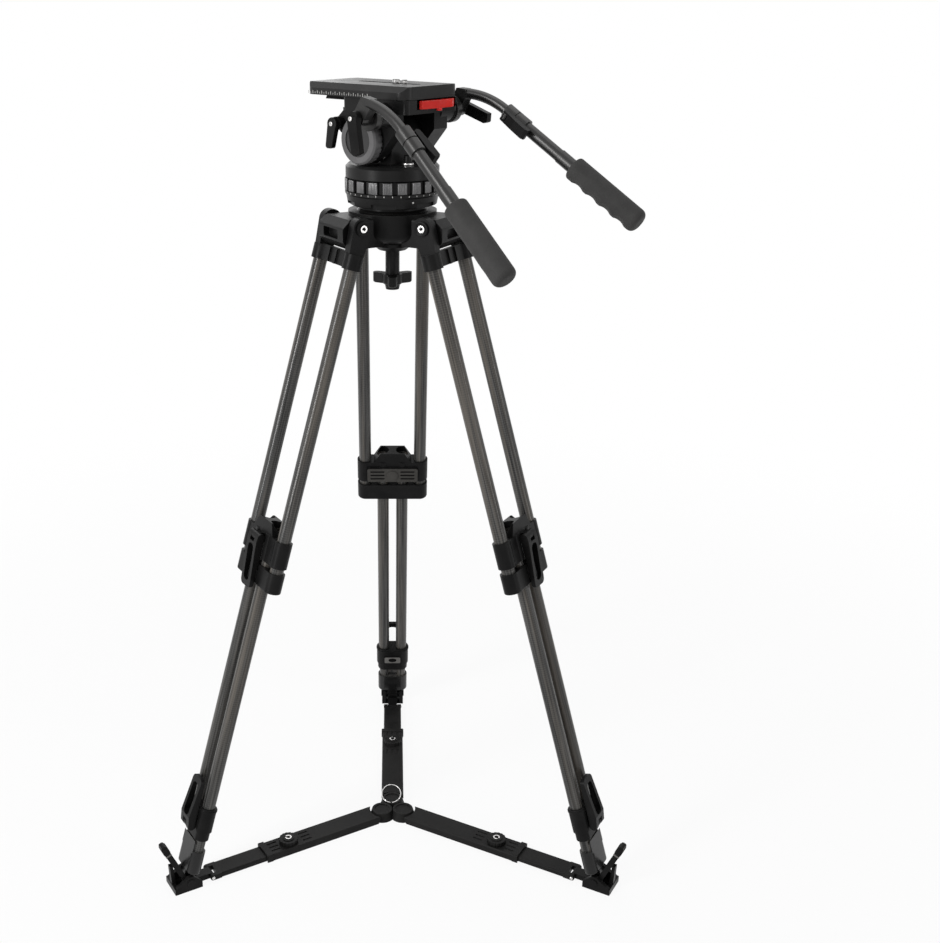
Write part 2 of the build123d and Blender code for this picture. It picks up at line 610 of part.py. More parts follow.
# Clamp lever of the collar, lying along the bar
with BuildPart() as clamp_lever:
    with BuildSketch(Plane.YZ.offset(-7)):
        with BuildLine():
            Polyline((BAR_HEEL_R - BAR_LEVER_Y, BAR_LEVER_Z), (-BAR_HEEL_R - BAR_LEVER_Y, BAR_LEVER_Z),
                     (-24.5, 30), (-26, 50), (-22.5, 54), (-16, 53), (-12.4, 40), close=True)
        make_face()
        with Locations((-BAR_LEVER_Y, BAR_LEVER_Z)):
            Circle(BAR_HEEL_R)
    extrude(amount=14)
    with Locations((0, -BAR_LEVER_Y, BAR_LEVER_Z + 5.5)):
        Box(8 + 2 * CLEAR, 30, 30, align=(Align.CENTER, Align.CENTER, Align.MAX), mode=Mode.SUBTRACT)
    with Locations((0, -BAR_LEVER_Y, BAR_LEVER_Z)):
        Cylinder(2, 14, rotation=(0, 90, 0))

# Rubber grip with four finger waves underneath
with BuildPart() as pan_bar_grip:
    with BuildSketch(Plane.XY.offset(GRIP_FROM)):
        Circle(GRIP_R)
    extrude(amount=GRIP_LENGTH)
    fillet(pan_bar_grip.faces().sort_by(Axis.Z)[-1].edges(), 8)
    fillet(pan_bar_grip.faces().sort_by(Axis.Z)[0].edges(), 3)
    with BuildSketch(Plane.XY.offset(GRIP_FROM - 1)):
        Circle(TUBE_R + GLUE_FIT)
    extrude(amount=GRIP_LENGTH - 4, mode=Mode.SUBTRACT)
    for wave in range(4):
        with Locations((GRIP_R + 22.6, 0, GRIP_FROM + 22 + 25 * wave)):
            Cylinder(25, 60, rotation=(90, 0, 0), mode=Mode.SUBTRACT)

# Both pan bars
far_place = head_place * Location((ROSETTE_X, ROSETTE_Y, TILT_Z + ROSETTE_DZ))
near_place = head_place * Location((ROSETTE_X, -ROSETTE_Y, TILT_Z + ROSETTE_DZ), (0, NEAR_DROP, 0))
bar_pieces = {"handle_arm": handle_arm.part, "wing_screw": wing_screw.part,
              "pan_bar_tube": bar_place * pan_bar_tube.part, "clamp_lever": bar_place * clamp_lever.part,
              "pan_bar_grip": bar_place * pan_bar_grip.part}
for piece_name, piece in bar_pieces.items():
    far_turn = Location((0, 0, 0), (0, FAR_WING if piece_name == "wing_screw" else 0, 0))
    keep(far_place * far_turn * piece, f"far_{piece_name}")
    keep(near_place * mirror(piece, about=Plane.XZ), f"near_{piece_name}")

# Leg castings: top bracket with hinge eyes, upper clamp and lower guide
with BuildPart() as leg_castings:
    with BuildSketch(Plane.YZ.offset(EYE_IN)):
        Circle(EYE_R)
        with BuildLine():
            Polyline((-EYE_R, 0), (-11, -UPPER_TOP), (11, -UPPER_TOP), (EYE_R, 0), close=True)
        make_face()
    extrude(amount=EYE_OUT - EYE_IN)
    with BuildSketch(Plane.XY.offset(-SOCKET_END)):
        with Locations((UPPER_PITCH / 2, 0)):
            Circle(SOCKET_R)
    extrude(amount=SOCKET_END - UPPER_TOP + 3)
    with BuildSketch(Plane.XZ):
        with BuildLine():
            Polyline((0, -WEB_TOP), (38, -WEB_TOP), (38, -SOCKET_END + 1), (0, -SOCKET_END + 1), close=True)
        make_face()
    extrude(amount=7, both=True)
    with BuildSketch(Plane.XZ):
        with Locations((10, -(WEB_TOP + SOCKET_END) / 2)):
            Rectangle(4, SOCKET_END - WEB_TOP - 2)
    extrude(amount=9.5, both=True)
    # upper clamp: collars on the outer tubes, sleeves for the middle tubes
    with BuildSketch(Plane.XZ):
        with BuildLine():
            Polyline((0, -CLAMP_TOP), (20, -CLAMP_TOP), (31, -COLLAR_TOP), (UPPER_PITCH / 2, -COLLAR_TOP),
                     (UPPER_PITCH / 2, -CLAMP_END), (0, -CLAMP_END), close=True)
        make_face()
    extrude(amount=CLAMP_HALF, both=True)
    with BuildSketch(Plane.XY.offset(-CLAMP_END)):
        with Locations((UPPER_PITCH / 2, 0)):
            Circle(COLLAR_R)
        with Locations((MID_PITCH / 2, 0)):
            Circle(COLLAR_R + 0.6)
    extrude(amount=CLAMP_END - COLLAR_TOP)
    with BuildSketch(Plane.XZ.offset(CLAMP_HALF)):
        with Locations((0, -CLAMP_END + 15)):
            RectangleRounded(84, 27, 4)
    extrude(amount=4)
    # lower guide
    with BuildSketch(Plane.XY.offset(-GUIDE_END)):
        SlotOverall(UPPER_PITCH + 2 * COLLAR_R, 2 * COLLAR_R)
    extrude(amount=GUIDE_END - GUIDE_TOP)
    fillet(leg_castings.faces().sort_by(Axis.Z)[0].edges(), 2)
    mirror(about=Plane.YZ)
    # raised disc and slots on the inner face of the clamp
    with BuildSketch(Plane.XZ.offset(CLAMP_HALF + 4)):
        with Locations((0, -CLAMP_END + 15)):
            Circle(9)
    extrude(amount=1.4)
    with BuildSketch(Plane.XZ.offset(CLAMP_HALF + 4)):
        for column in (-25, 25):
            for row in (-7, 0, 7):
                with Locations((column, -CLAMP_END + 15 + row)):
                    SlotOverall(24, 3)
    extrude(amount=-1.6, mode=Mode.SUBTRACT)
    # ear of the clamp lever on the outer face
    with BuildSketch(Plane.YZ.offset(-6)):
        with Locations((UP_LEVER_Y, -UP_LEVER_S)):
            Circle(6)
        with Locations((UP_LEVER_Y - 6, -UP_LEVER_S)):
            Rectangle(12, 12)
    extrude(amount=12)
    # bores
    with BuildSketch(Plane.XY.offset(-SOCKET_END)):
        with GridLocations(UPPER_PITCH, 1, 2, 1):
            Circle(UPPER_R + GLUE_FIT)
    extrude(amount=SOCKET_END - UPPER_TOP - 2, mode=Mode.SUBTRACT)
    with BuildSketch(Plane.XY.offset(-GUIDE_END + 4)):
        with GridLocations(UPPER_PITCH, 1, 2, 1):
            Circle(UPPER_R + GLUE_FIT)
    extrude(amount=GUIDE_END - CLAMP_TOP + 12, mode=Mode.SUBTRACT)
    with BuildSketch(Plane.XY.offset(-GUIDE_END - 5)):
        with GridLocations(MID_PITCH, 1, 2, 1):
            Circle(MID_R + CLEAR)
    extrude(amount=GUIDE_END - CLAMP_TOP + 22, mode=Mode.SUBTRACT)
    Cylinder(PIN_R + PIN_FIT, 140, rotation=(0, 90, 0), mode=Mode.SUBTRACT)
    with Locations((0, UP_LEVER_Y, -UP_LEVER_S)):
        Cylinder(LEVER_PIN_R + PIN_FIT, 20, rotation=(0, 90, 0), mode=Mode.SUBTRACT)

# Upper tubes, a pair
with BuildPart() as upper_tubes:
    with BuildSketch(Plane.XY.offset(-GUIDE_END + 4.3)):
        with GridLocations(UPPER_PITCH, 1, 2, 1):
            Circle(UPPER_R)
            Circle(UPPER_BORE, mode=Mode.SUBTRACT)
    extrude(amount=GUIDE_END - 4.3 - UPPER_TOP - 3)

# Upper clamp lever, an open loop on the outer side
with BuildPart() as upper_clamp_lever:
    with BuildSketch(Plane.YZ.offset(-15)):
        with BuildLine():
            Polyline((UP_LEVER_Y - UP_HEEL_R, -UP_LEVER_S), (UP_LEVER_Y + UP_HEEL_R, -UP_LEVER_S),
                     (UP_LEVER_Y + 6.5, -UP_LEVER_S - 6), (UP_LEVER_Y + 5.5, -UP_LEVER_S - 22),
                     (UP_LEVER_Y + 0.5, -UP_LEVER_END), (UP_LEVER_Y - 5, -UP_LEVER_END),
                     (UP_LEVER_Y - 5, -UP_LEVER_S - 8), close=True)
        make_face()
        with Locations((UP_LEVER_Y, -UP_LEVER_S)):
            Circle(UP_HEEL_R)
    extrude(amount=30)
    with BuildSketch(Plane.XZ.offset(-10)):
        with Locations((0, -UP_LEVER_S - 40)):
            RectangleRounded(17, 56, 7)
    extrude(amount=-20, mode=Mode.SUBTRACT)
    with Locations((0, 13, -UP_LEVER_S - 8)):
        Box(12 + 2 * CLEAR, 30, 30, align=(Align.CENTER, Align.MIN, Align.MIN), mode=Mode.SUBTRACT)
    fillet(upper_clamp_lever.edges().filter_by(Axis.Y, tolerance=20).group_by(Axis.Z)[0], 7)
    with Locations((0, UP_LEVER_Y, -UP_LEVER_S)):
        Cylinder(LEVER_PIN_R, 30, rotation=(0, 90, 0))

# Middle tubes, a pair
with BuildPart() as mid_tubes:
    with BuildSketch(Plane.XY.offset(-LOW_CLAMP_END + 16.3)):
        with GridLocations(MID_PITCH, 1, 2, 1):
            Circle(MID_R)
            Circle(MID_BORE, mode=Mode.SUBTRACT)
    extrude(amount=LOW_CLAMP_END - 16.3 - MID_TOP)

# Lower clamp casting
with BuildPart() as lower_clamp:
    with BuildSketch(Plane.XY.offset(-LOW_CLAMP_END)):
        SlotOverall(MID_PITCH + 2 * LOW_COLLAR_R - 4, 2 * LOW_COLLAR_R - 4)
    extrude(amount=14)
    with BuildSketch(Plane.XY.offset(-LOW_CLAMP_END + 14)):
        SlotOverall(MID_PITCH + 2 * LOW_COLLAR_R, 2 * LOW_COLLAR_R)
    extrude(amount=LOW_CLAMP_END - LOW_CLAMP_TOP - 14)
    chamfer(lower_clamp.faces().sort_by(Axis.Z)[-1].edges(), 1)
    with BuildSketch(Plane.XY.offset(-LOW_CLAMP_TOP - 5)):
        SlotOverall(MID_PITCH + 2 * LOW_COLLAR_R + 1.6, 2 * LOW_COLLAR_R + 1.6)
    extrude(amount=2.4)
    with BuildSketch(Plane.XZ.offset(LOW_COLLAR_R - 2)):
        with Locations((0, -LOW_CLAMP_TOP - 24)):
            RectangleRounded(31, 15, 3)
    extrude(amount=4)
    with BuildSketch(Plane.XZ.offset(LOW_COLLAR_R + 2)):
        with Locations((0, -LOW_CLAMP_TOP - 24)):
            SlotOverall(18, 6)
    extrude(amount=-2, mode=Mode.SUBTRACT)
    with BuildSketch(Plane.YZ.offset(-6)):
        with Locations((LOW_LEVER_Y, -LOW_LEVER_S)):
            Circle(5.5)
        with Locations((LOW_LEVER_Y - 6, -LOW_LEVER_S)):
            Rectangle(12, 11)
    extrude(amount=12)
    with BuildSketch(Plane.XY.offset(-LOW_CLAMP_END + 16)):
        with GridLocations(MID_PITCH, 1, 2, 1):
            Circle(MID_R + GLUE_FIT)
    extrude(amount=60, mode=Mode.SUBTRACT)
    with BuildSketch(Plane.XY.offset(-LOW_CLAMP_END - 1)):
        with GridLocations(MID_PITCH, 1, 2, 1):
            Circle(LOWER_R + CLEAR)
    extrude(amount=30, mode=Mode.SUBTRACT)
    with Locations((0, LOW_LEVER_Y, -LOW_LEVER_S)):
        Cylinder(LEVER_PIN_R + PIN_FIT, 20, rotation=(0, 90, 0), mode=Mode.SUBTRACT)

# Lower clamp lever, its loop pointing up
with BuildPart() as lower_clamp_lever:
    with BuildSketch(Plane.YZ.offset(-15)):
        with BuildLine():
            Polyline((LOW_LEVER_Y - LOW_HEEL_R, -LOW_LEVER_S), (LOW_LEVER_Y + LOW_HEEL_R, -LOW_LEVER_S),
                     (LOW_LEVER_Y + 8.5, -LOW_LEVER_S + 15), (LOW_LEVER_Y + 5.5, -LOW_LEVER_S + 39),
                     (LOW_LEVER_Y + 1, -LOW_LEVER_END), (LOW_LEVER_Y - 4.7, -LOW_LEVER_END),
                     (LOW_LEVER_Y - 4.7, -LOW_LEVER_S + 8), close=True)
        make_face()
        with Locations((LOW_LEVER_Y, -LOW_LEVER_S)):
            Circle(LOW_HEEL_R)
    extrude(amount=30)
    with BuildSketch(Plane.XZ.offset(-10)):
        with Locations((0, -LOW_LEVER_S + 41)):
            RectangleRounded(17, 52, 7)
    extrude(amount=-20, mode=Mode.SUBTRACT)
    with Locations((0, 13, -LOW_LEVER_S + 8)):
        Box(12 + 2 * CLEAR, 30, 30, align=(Align.CENTER, Align.MIN, Align.MAX), mode=Mode.SUBTRACT)
    fillet(lower_clamp_lever.edges().filter_by(Axis.Y, tolerance=20).group_by(Axis.Z)[-1], 7)
    with Locations((0, LOW_LEVER_Y, -LOW_LEVER_S)):
        Cylinder(LEVER_PIN_R, 30, rotation=(0, 90, 0))

# Lower leg: two tubes glued in the foot bracket
with BuildPart() as lower_leg:
    with BuildSketch(Plane.XY.offset(-BRACKET_END)):
        SlotOverall(MID_PITCH + 2 * BRACKET_R, 2 * BRACKET_R)
    extrude(amount=BRACKET_END - BRACKET_TOP)
    fillet(lower_leg.faces().sort_by(Axis.Z)[0].edges(), 3)
    with BuildSketch(Plane.YZ.offset(-20)):
        with BuildLine():
            Polyline((BRACKET_R, -BRACKET_TOP + 17), (BRACKET_R, -BRACKET_TOP - 4), (1, -BRACKET_TOP - 4),
                     (1, -BRACKET_TOP), close=True)
        make_face()
    extrude(amount=40)
    with BuildSketch(Plane.YZ.offset(-TONGUE_HALF)):
        with Locations((0, -LEG_LENGTH)):
            Circle(10)
        with Locations((0, -BRACKET_END - 6)):
            Rectangle(18, 18)
    extrude(amount=2 * TONGUE_HALF)
    with BuildSketch(Plane.XY.offset(-BRACKET_END + 5)):
        with GridLocations(MID_PITCH, 1, 2, 1):
            Circle(LOWER_R + GLUE_FIT)
    extrude(amount=90, mode=Mode.SUBTRACT)
    with Locations((0, 0, -LEG_LENGTH)):
        Cylinder(FOOT_PIN_R + PIN_FIT, 40, rotation=(0, 90, 0), mode=Mode.SUBTRACT)
    with BuildSketch(Plane.XY.offset(-BRACKET_END + 5.3)):
        with GridLocations(MID_PITCH, 1, 2, 1):
            Circle(LOWER_R)
            Circle(LOWER_BORE, mode=Mode.SUBTRACT)
    extrude(amount=BRACKET_END - 5.3 - LOWER_TOP)

# Foot shoe: tray with two wedge cheeks, pivot bolt and link tongue
with BuildPart() as foot_shoe:
    with BuildSketch(Plane.YZ.offset(CHEEK_IN)):
        Circle(10.5)
        with BuildLine():
            Polyline((SHOE_INNER, -PIVOT_Z), (SHOE_OUTER, -PIVOT_Z), (SHOE_OUTER, -5), (8, 6.5), (-9, 5.5),
                     (SHOE_INNER, -3), close=True)
        make_face()
    extrude(amount=CHEEK_OUT - CHEEK_IN)
    with BuildSketch(Plane.YZ.offset(CHEEK_OUT)):
        Circle(6)
    extrude(amount=1.6)
    mirror(about=Plane.YZ)
    with BuildSketch(Plane.YZ.offset(-CHEEK_OUT)):
        with BuildLine():
            Polyline((SHOE_INNER, -PIVOT_Z), (SHOE_OUTER, -PIVOT_Z), (SHOE_OUTER, -3.5), (SHOE_OUTER - 6, -3.5),
                     (SHOE_OUTER - 6, -10.8), (SHOE_INNER, -10.8), close=True)
        make_face()
    extrude(amount=2 * CHEEK_OUT)
    with BuildSketch(Plane.YZ.offset(-TONGUE_HALF)):
        with Locations((LINK_Y, LINK_Z)):
            Circle(LINK_EYE_R)
        with BuildLine():
            Polyline((LINK_Y, LINK_Z + LINK_EYE_R), (LINK_Y, LINK_Z - LINK_EYE_R), (SHOE_INNER + 4, -PIVOT_Z + 1),
                     (SHOE_INNER + 4, -3), close=True)
        make_face()
    extrude(amount=2 * TONGUE_HALF)
    # stop post inside the latch's fork
    with BuildSketch(Plane.YZ.offset(-4)):
        with BuildLine():
            Polyline((18, -11), (25, -11), (27, 29), (22, 29), close=True)
        make_face()
    extrude(amount=8)
    with Locations((0, 0, 0)):
        Cylinder(FOOT_PIN_R, 2 * CHEEK_OUT, rotation=(0, 90, 0))
    with Locations((0, LINK_Y, LINK_Z)):
        Cylinder(LINK_PIN_R + GLUE_FIT, 40, rotation=(0, 90, 0), mode=Mode.SUBTRACT)

# Foot latch: a fork on the pivot bolt, joined above the stop post
with BuildPart() as foot_latch:
    with BuildSketch(Plane.YZ.offset(-FORK_OUT)):
        Circle(7.5)
        with BuildLine():
            Polyline((0.5, -3), (0.5, LATCH_LENGTH - 2), (3, LATCH_LENGTH), (7, LATCH_LENGTH),
                     (9, LATCH_LENGTH - 3), (9, 40), (7.5, 0), close=True)
        make_face()
    extrude(amount=2 * FORK_OUT)
    with BuildSketch(Plane.XZ):
        with BuildLine():
            Polyline((-FORK_OUT, -9), (FORK_OUT, -9), (FORK_OUT, 22), (7, 50), (6.5, LATCH_LENGTH + 1),
                     (-6.5, LATCH_LENGTH + 1), (-7, 50), (-FORK_OUT, 22), close=True)
        make_face()
        with BuildLine():
            Polyline((-FORK_IN, -10), (FORK_IN, -10), (FORK_IN, 20), (5, 47), (-5, 47), (-FORK_IN, 20),
                     close=True)
        make_face(mode=Mode.SUBTRACT)
    extrude(amount=20, both=True, mode=Mode.INTERSECT)
    Cylinder(FOOT_PIN_R + PIN_FIT, 40, rotation=(0, 90, 0), mode=Mode.SUBTRACT)
latch_place = Location((0, 0, 0), (-LATCH_LEAN, 0, 0))

# Outer spreader arm: bar with the fork and pin that link it to the shoe
link_r = FOOT_R + LINK_Y
link_z = PIVOT_Z + LINK_Z
with BuildPart() as outer_arm:
    with BuildSketch(Plane.XZ.offset(-BAR_INNER)):
        with Locations((0, (BAR_LOW + BAR_TOP) / 2)):
            RectangleRounded(2 * BAR_HALF, BAR_TOP - BAR_LOW, 2)
    extrude(amount=-(BAR_OUTER - BAR_INNER))
    with BuildSketch(Plane.YZ.offset(TONGUE_HALF + CLEAR)):
        with Locations((link_r, link_z)):
            Circle(LINK_EYE_R)
        with BuildLine():
            Polyline((BAR_OUTER - 6, link_z - LINK_EYE_R), (link_r, link_z - LINK_EYE_R),
                     (link_r, link_z + LINK_EYE_R), (BAR_OUTER - 6, link_z + LINK_EYE_R), close=True)
        make_face()
    extrude(amount=BAR_HALF - TONGUE_HALF - CLEAR)
    mirror(about=Plane.YZ)
    with Locations((0, link_r, link_z)):
        Cylinder(LINK_PIN_R, 2 * BAR_HALF + 1, rotation=(0, 90, 0))

# Inner spreader arm: channel round the bar with a mouth flange and ribbed pads
arm_cut = LOBE_R + 9.5
cut_at = LOBE_AT + LOBE_R + HUB_GAP - arm_cut
with BuildPart() as inner_arm:
    with BuildSketch(Plane.XZ.offset(-ARM_INNER)):
        with BuildLine():
            Polyline((-ARM_HALF, BAR_LOW - 0.4), (-ARM_HALF, ARM_TOP - 1.5), (1.5 - ARM_HALF, ARM_TOP),
                     (ARM_HALF - 1.5, ARM_TOP), (ARM_HALF, ARM_TOP - 1.5), (ARM_HALF, BAR_LOW - 0.4),
                     close=True)
        make_face()
    extrude(amount=-(ARM_OUTER - ARM_INNER))
    with BuildSketch(Plane.XZ.offset(-ARM_OUTER + 4)):
        with Locations((0, (ARM_TOP + BAR_LOW) / 2)):
            RectangleRounded(2 * ARM_HALF + 3, ARM_TOP - BAR_LOW + 2, 2)
    extrude(amount=-9)
    with BuildSketch(Plane.XZ.offset(-ARM_INNER - 32)):
        with Locations((0, BAR_LOW - 2)):
            Rectangle(2 * BAR_HALF + 2 * CLEAR, BAR_TOP - BAR_LOW + CLEAR + 2, align=(Align.CENTER, Align.MIN))
    extrude(amount=-300, mode=Mode.SUBTRACT)
    # ribs beside the lock knob
    with BuildSketch(Plane.XY.offset(ARM_TOP)):
        for pad in (SPREAD_KNOB_Y - 29, SPREAD_KNOB_Y + 26):
            with Locations((-9, pad), (0, pad), (9, pad)):
                SlotOverall(16, 3.5, rotation=90)
    extrude(amount=-1.1, mode=Mode.SUBTRACT)
    with Locations((0, SPREAD_KNOB_Y, ARM_TOP)):
        Cylinder(4 + PIN_FIT, 10, mode=Mode.SUBTRACT)
    # hollow end that meets a lobe of the hub
    with Locations((0, cut_at, 0)):
        Cone(arm_cut + LOBE_DRAFT * HUB_HEIGHT, arm_cut - LOBE_DRAFT * HUB_HEIGHT, 2 * HUB_HEIGHT,
             align=(Align.CENTER, Align.CENTER, Align.MIN), mode=Mode.SUBTRACT)

# Lock knob of a spreader arm
with BuildPart() as spreader_knob:
    with BuildSketch(Plane.XY.offset(ARM_TOP + CLEAR)):
        Circle(SPREAD_KNOB_R)
        with PolarLocations(SPREAD_KNOB_R + 1.2, 16):
            Circle(2, mode=Mode.SUBTRACT)
    extrude(amount=6.5)
    with BuildSketch(Plane.XY.offset(ARM_TOP + CLEAR + 6.5)):
        Circle(9)
    extrude(amount=1.2)
    with BuildSketch(Plane.XY.offset(ARM_TOP + CLEAR)):
        Circle(4)
    extrude(amount=-ARM_WALL - CLEAR + 0.4)
knob_place = Location((0, SPREAD_KNOB_Y, 0))

# Spreader hub: three drafted lobes
with BuildPart() as spreader_hub:
    with PolarLocations(LOBE_AT, 3, start_angle=90):
        Cone(LOBE_R + LOBE_DRAFT * HUB_HEIGHT, LOBE_R, HUB_HEIGHT, align=(Align.CENTER, Align.CENTER, Align.MIN))
    with PolarLocations(LOBE_AT, 3, start_angle=90):
        with Locations((0, 0, HUB_HEIGHT)):
            Cylinder(LOBE_R - 4, 2.4, mode=Mode.SUBTRACT)
keep(spreader_hub.part, "spreader_hub")

# Three legs and three spokes
leg_pieces = {"leg_castings": leg_castings.part, "upper_tubes": upper_tubes.part,
              "upper_clamp_lever": upper_clamp_lever.part, "mid_tubes": mid_tubes.part,
              "lower_clamp": lower_clamp.part, "lower_clamp_lever": lower_clamp_lever.part,
              "lower_leg": lower_leg.part}
foot_pieces = {"foot_shoe": foot_shoe.part, "foot_latch": latch_place * foot_latch.part}
spoke_pieces = {"outer_arm": outer_arm.part, "inner_arm": inner_arm.part,
                "spreader_knob": knob_place * spreader_knob.part}
for leg, turn in LEGS.items():
    for piece_name, piece in leg_pieces.items():
        keep(leg_place(turn) * piece, f"{leg}_{piece_name}")
    for piece_name, piece in foot_pieces.items():
        keep(foot_place(turn) * piece, f"{leg}_{piece_name}")
    for piece_name, piece in spoke_pieces.items():
        keep(spoke_place(turn) * piece, f"{leg}_{piece_name}")
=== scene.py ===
from math import atan, cos, degrees, pi, radians, sin

import bmesh
import bpy
from mathutils import Matrix, Vector


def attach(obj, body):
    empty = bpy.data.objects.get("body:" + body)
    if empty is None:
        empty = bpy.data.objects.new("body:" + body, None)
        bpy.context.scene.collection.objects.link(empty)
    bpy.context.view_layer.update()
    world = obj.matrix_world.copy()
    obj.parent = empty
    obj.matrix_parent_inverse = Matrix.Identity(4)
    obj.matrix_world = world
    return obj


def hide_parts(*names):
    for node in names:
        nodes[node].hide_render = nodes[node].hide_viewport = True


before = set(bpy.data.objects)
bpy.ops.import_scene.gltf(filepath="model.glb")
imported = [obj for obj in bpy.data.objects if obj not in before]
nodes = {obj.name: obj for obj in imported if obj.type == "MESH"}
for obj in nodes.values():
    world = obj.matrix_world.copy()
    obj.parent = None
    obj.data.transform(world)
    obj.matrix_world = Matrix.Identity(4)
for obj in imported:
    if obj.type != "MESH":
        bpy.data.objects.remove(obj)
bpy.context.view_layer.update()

MM = 0.001

# Stance of the legs and the head, in millimetres and degrees
LEG_TURNS = {"back": 0, "left": 120, "right": 240}
LEAN = 16.6
HINGE_R = 75.0
LEG_LENGTH = 1016.0
PIVOT_Z = 13.5
HINGE_Z = PIVOT_Z + LEG_LENGTH * cos(radians(LEAN))
FOOT_R = HINGE_R + LEG_LENGTH * sin(radians(LEAN))
BOWL_Z = HINGE_Z + 13.9
TILT_X = -4.0
TILT_Z = BOWL_Z + 98.0
HEAD_YAW = -42.0
ROSETTE_X = 34.0
ROSETTE_Y = 76.0
ROSETTE_Z = TILT_Z + 34.0
PLATE_TOP = TILT_Z + 71.0
SIDES = ("far", "near")

# Turns about Y that bring Z to the two ends of a cross pin
PIN_ENDS = {"a": 90, "b": -90}


def shift(x, y, z):
    """A move in millimetres."""
    return Matrix.Translation(Vector((x, y, z)) * MM)


def turned(angle, axis):
    """A turn about one axis, in degrees."""
    return Matrix.Rotation(radians(angle), 4, axis)


# Where the frames of the object stand
spokes = {leg: turned(turn, "Z") for leg, turn in LEG_TURNS.items()}
hinges = {leg: spoke @ shift(0, HINGE_R, HINGE_Z) for leg, spoke in spokes.items()}
legs = {leg: hinge @ turned(LEAN, "X") for leg, hinge in hinges.items()}
feet = {leg: spoke @ shift(0, FOOT_R, PIVOT_Z) for leg, spoke in spokes.items()}
head = turned(HEAD_YAW, "Z")

# The straight part of a pan bar, from the end of the handle's bend
SPLAY = 6.0
BAR_FALL = 28.2 + degrees(atan(1.2 / 16))
BEND_X, BEND_Y, BEND_Z = 78.87, 22.0, 1.09
NEAR_DROP = 8.0
splay_cos, splay_sin = cos(radians(SPLAY)), sin(radians(SPLAY))
fall_cos, fall_sin = cos(radians(BAR_FALL)), sin(radians(BAR_FALL))
bar_axis = Vector((fall_cos * splay_cos, fall_cos * splay_sin, -fall_sin))
bar_out = Vector((-splay_sin, splay_cos, 0))
bar_down = bar_out.cross(bar_axis)
bend_end = shift(BEND_X * splay_cos, BEND_Y + BEND_X * splay_sin, BEND_Z)
bar = bend_end @ Matrix((bar_down, bar_out, bar_axis)).transposed().to_4x4()
flip_side = Matrix.Diagonal((1, -1, 1, 1))
rosettes = {
    "far": head @ shift(ROSETTE_X, ROSETTE_Y, ROSETTE_Z),
    "near": head @ shift(ROSETTE_X, -ROSETTE_Y, ROSETTE_Z) @ turned(NEAR_DROP, "Y") @ flip_side,
}

# Camera at the photograph's angle; the first three are in the photograph's pixels
PHOTO_WIDTH = 940.0
FOCAL_LENGTH = 1283.07
CENTRE_SHIFT = 77.5
SENSOR_WIDTH = 36.0
CAMERA_PLACE = (0, -1.80853, 1.28994)
CAMERA_DIP = 20.644
camera_data = bpy.data.cameras.new("photo_camera")
camera_data.sensor_fit = "HORIZONTAL"
camera_data.sensor_width = SENSOR_WIDTH
camera_data.lens = FOCAL_LENGTH * SENSOR_WIDTH / PHOTO_WIDTH
camera_data.shift_x = CENTRE_SHIFT / PHOTO_WIDTH
camera = bpy.data.objects.new("photo_camera", camera_data)
camera.location = CAMERA_PLACE
camera.rotation_euler = (radians(90 - CAMERA_DIP), 0, 0)
bpy.context.scene.collection.objects.link(camera)
bpy.context.scene.camera = camera
bpy.context.scene.view_settings.view_transform = "Standard"


# Small parts of node trees
def math_node(tree, operation, first, second):
    """One operation on two sockets or numbers."""
    node = tree.nodes.new("ShaderNodeMath")
    node.operation = operation
    for index, value in enumerate((first, second)):
        if isinstance(value, (int, float)):
            node.inputs[index].default_value = value
        else:
            tree.links.new(value, node.inputs[index])
    return node.outputs[0]


def weighted(tree, first, share, second, rest):
    """Two sockets added, each with its own share."""
    return math_node(tree, "ADD", math_node(tree, "MULTIPLY", first, share),
                     math_node(tree, "MULTIPLY", second, rest))


def ramp(tree, value, low, high, to_low=0.0, to_high=1.0, kind="LINEAR"):
    """A value spread from one range to another, held at the ends."""
    node = tree.nodes.new("ShaderNodeMapRange")
    node.interpolation_type = kind
    node.inputs["From Min"].default_value = low
    node.inputs["From Max"].default_value = high
    node.inputs["To Min"].default_value = to_low
    node.inputs["To Max"].default_value = to_high
    tree.links.new(value, node.inputs["Value"])
    return node.outputs["Result"]


def length_of(tree, vector):
    """The length of a vector."""
    node = tree.nodes.new("ShaderNodeVectorMath")
    node.operation = "LENGTH"
    tree.links.new(vector, node.inputs[0])
    return node.outputs["Value"]


def noise(tree, vector, scale, detail=2.0, roughness=0.5):
    """Soft noise on a vector."""
    node = tree.nodes.new("ShaderNodeTexNoise")
    node.inputs["Scale"].default_value = scale
    node.inputs["Detail"].default_value = detail
    node.inputs["Roughness"].default_value = roughness
    tree.links.new(vector, node.inputs["Vector"])
    return node.outputs["Fac"]


def stretched(tree, vector, scale):
    """A vector with its own scale on each axis."""
    node = tree.nodes.new("ShaderNodeMapping")
    node.inputs["Scale"].default_value = scale
    tree.links.new(vector, node.inputs["Vector"])
    return node.outputs["Vector"]


# Lamps, world and floor, in metres and watts
LAMP_AIM_LOW = (0, 0, 0.7)
LAMP_AIM_HIGH = (0, 0, 0.8)
AMBIENT = 0.24
FLOOR_R = 7.0
FLOOR_GREY = 0.9
FLOOR_CLEAR = 0.92
FADE_FROM, FADE_TO = 0.5, 2.2


def softbox(name, place, aim, size, power):
    """A soft rectangular lamp that looks at a point."""
    data = bpy.data.lights.new(name, "AREA")
    data.shape = "RECTANGLE"
    data.size, data.size_y = size
    data.energy = power
    lamp = bpy.data.objects.new(name, data)
    lamp.location = place
    lamp.rotation_euler = (Vector(aim) - Vector(place)).to_track_quat("-Z", "Y").to_euler()
    bpy.context.scene.collection.objects.link(lamp)


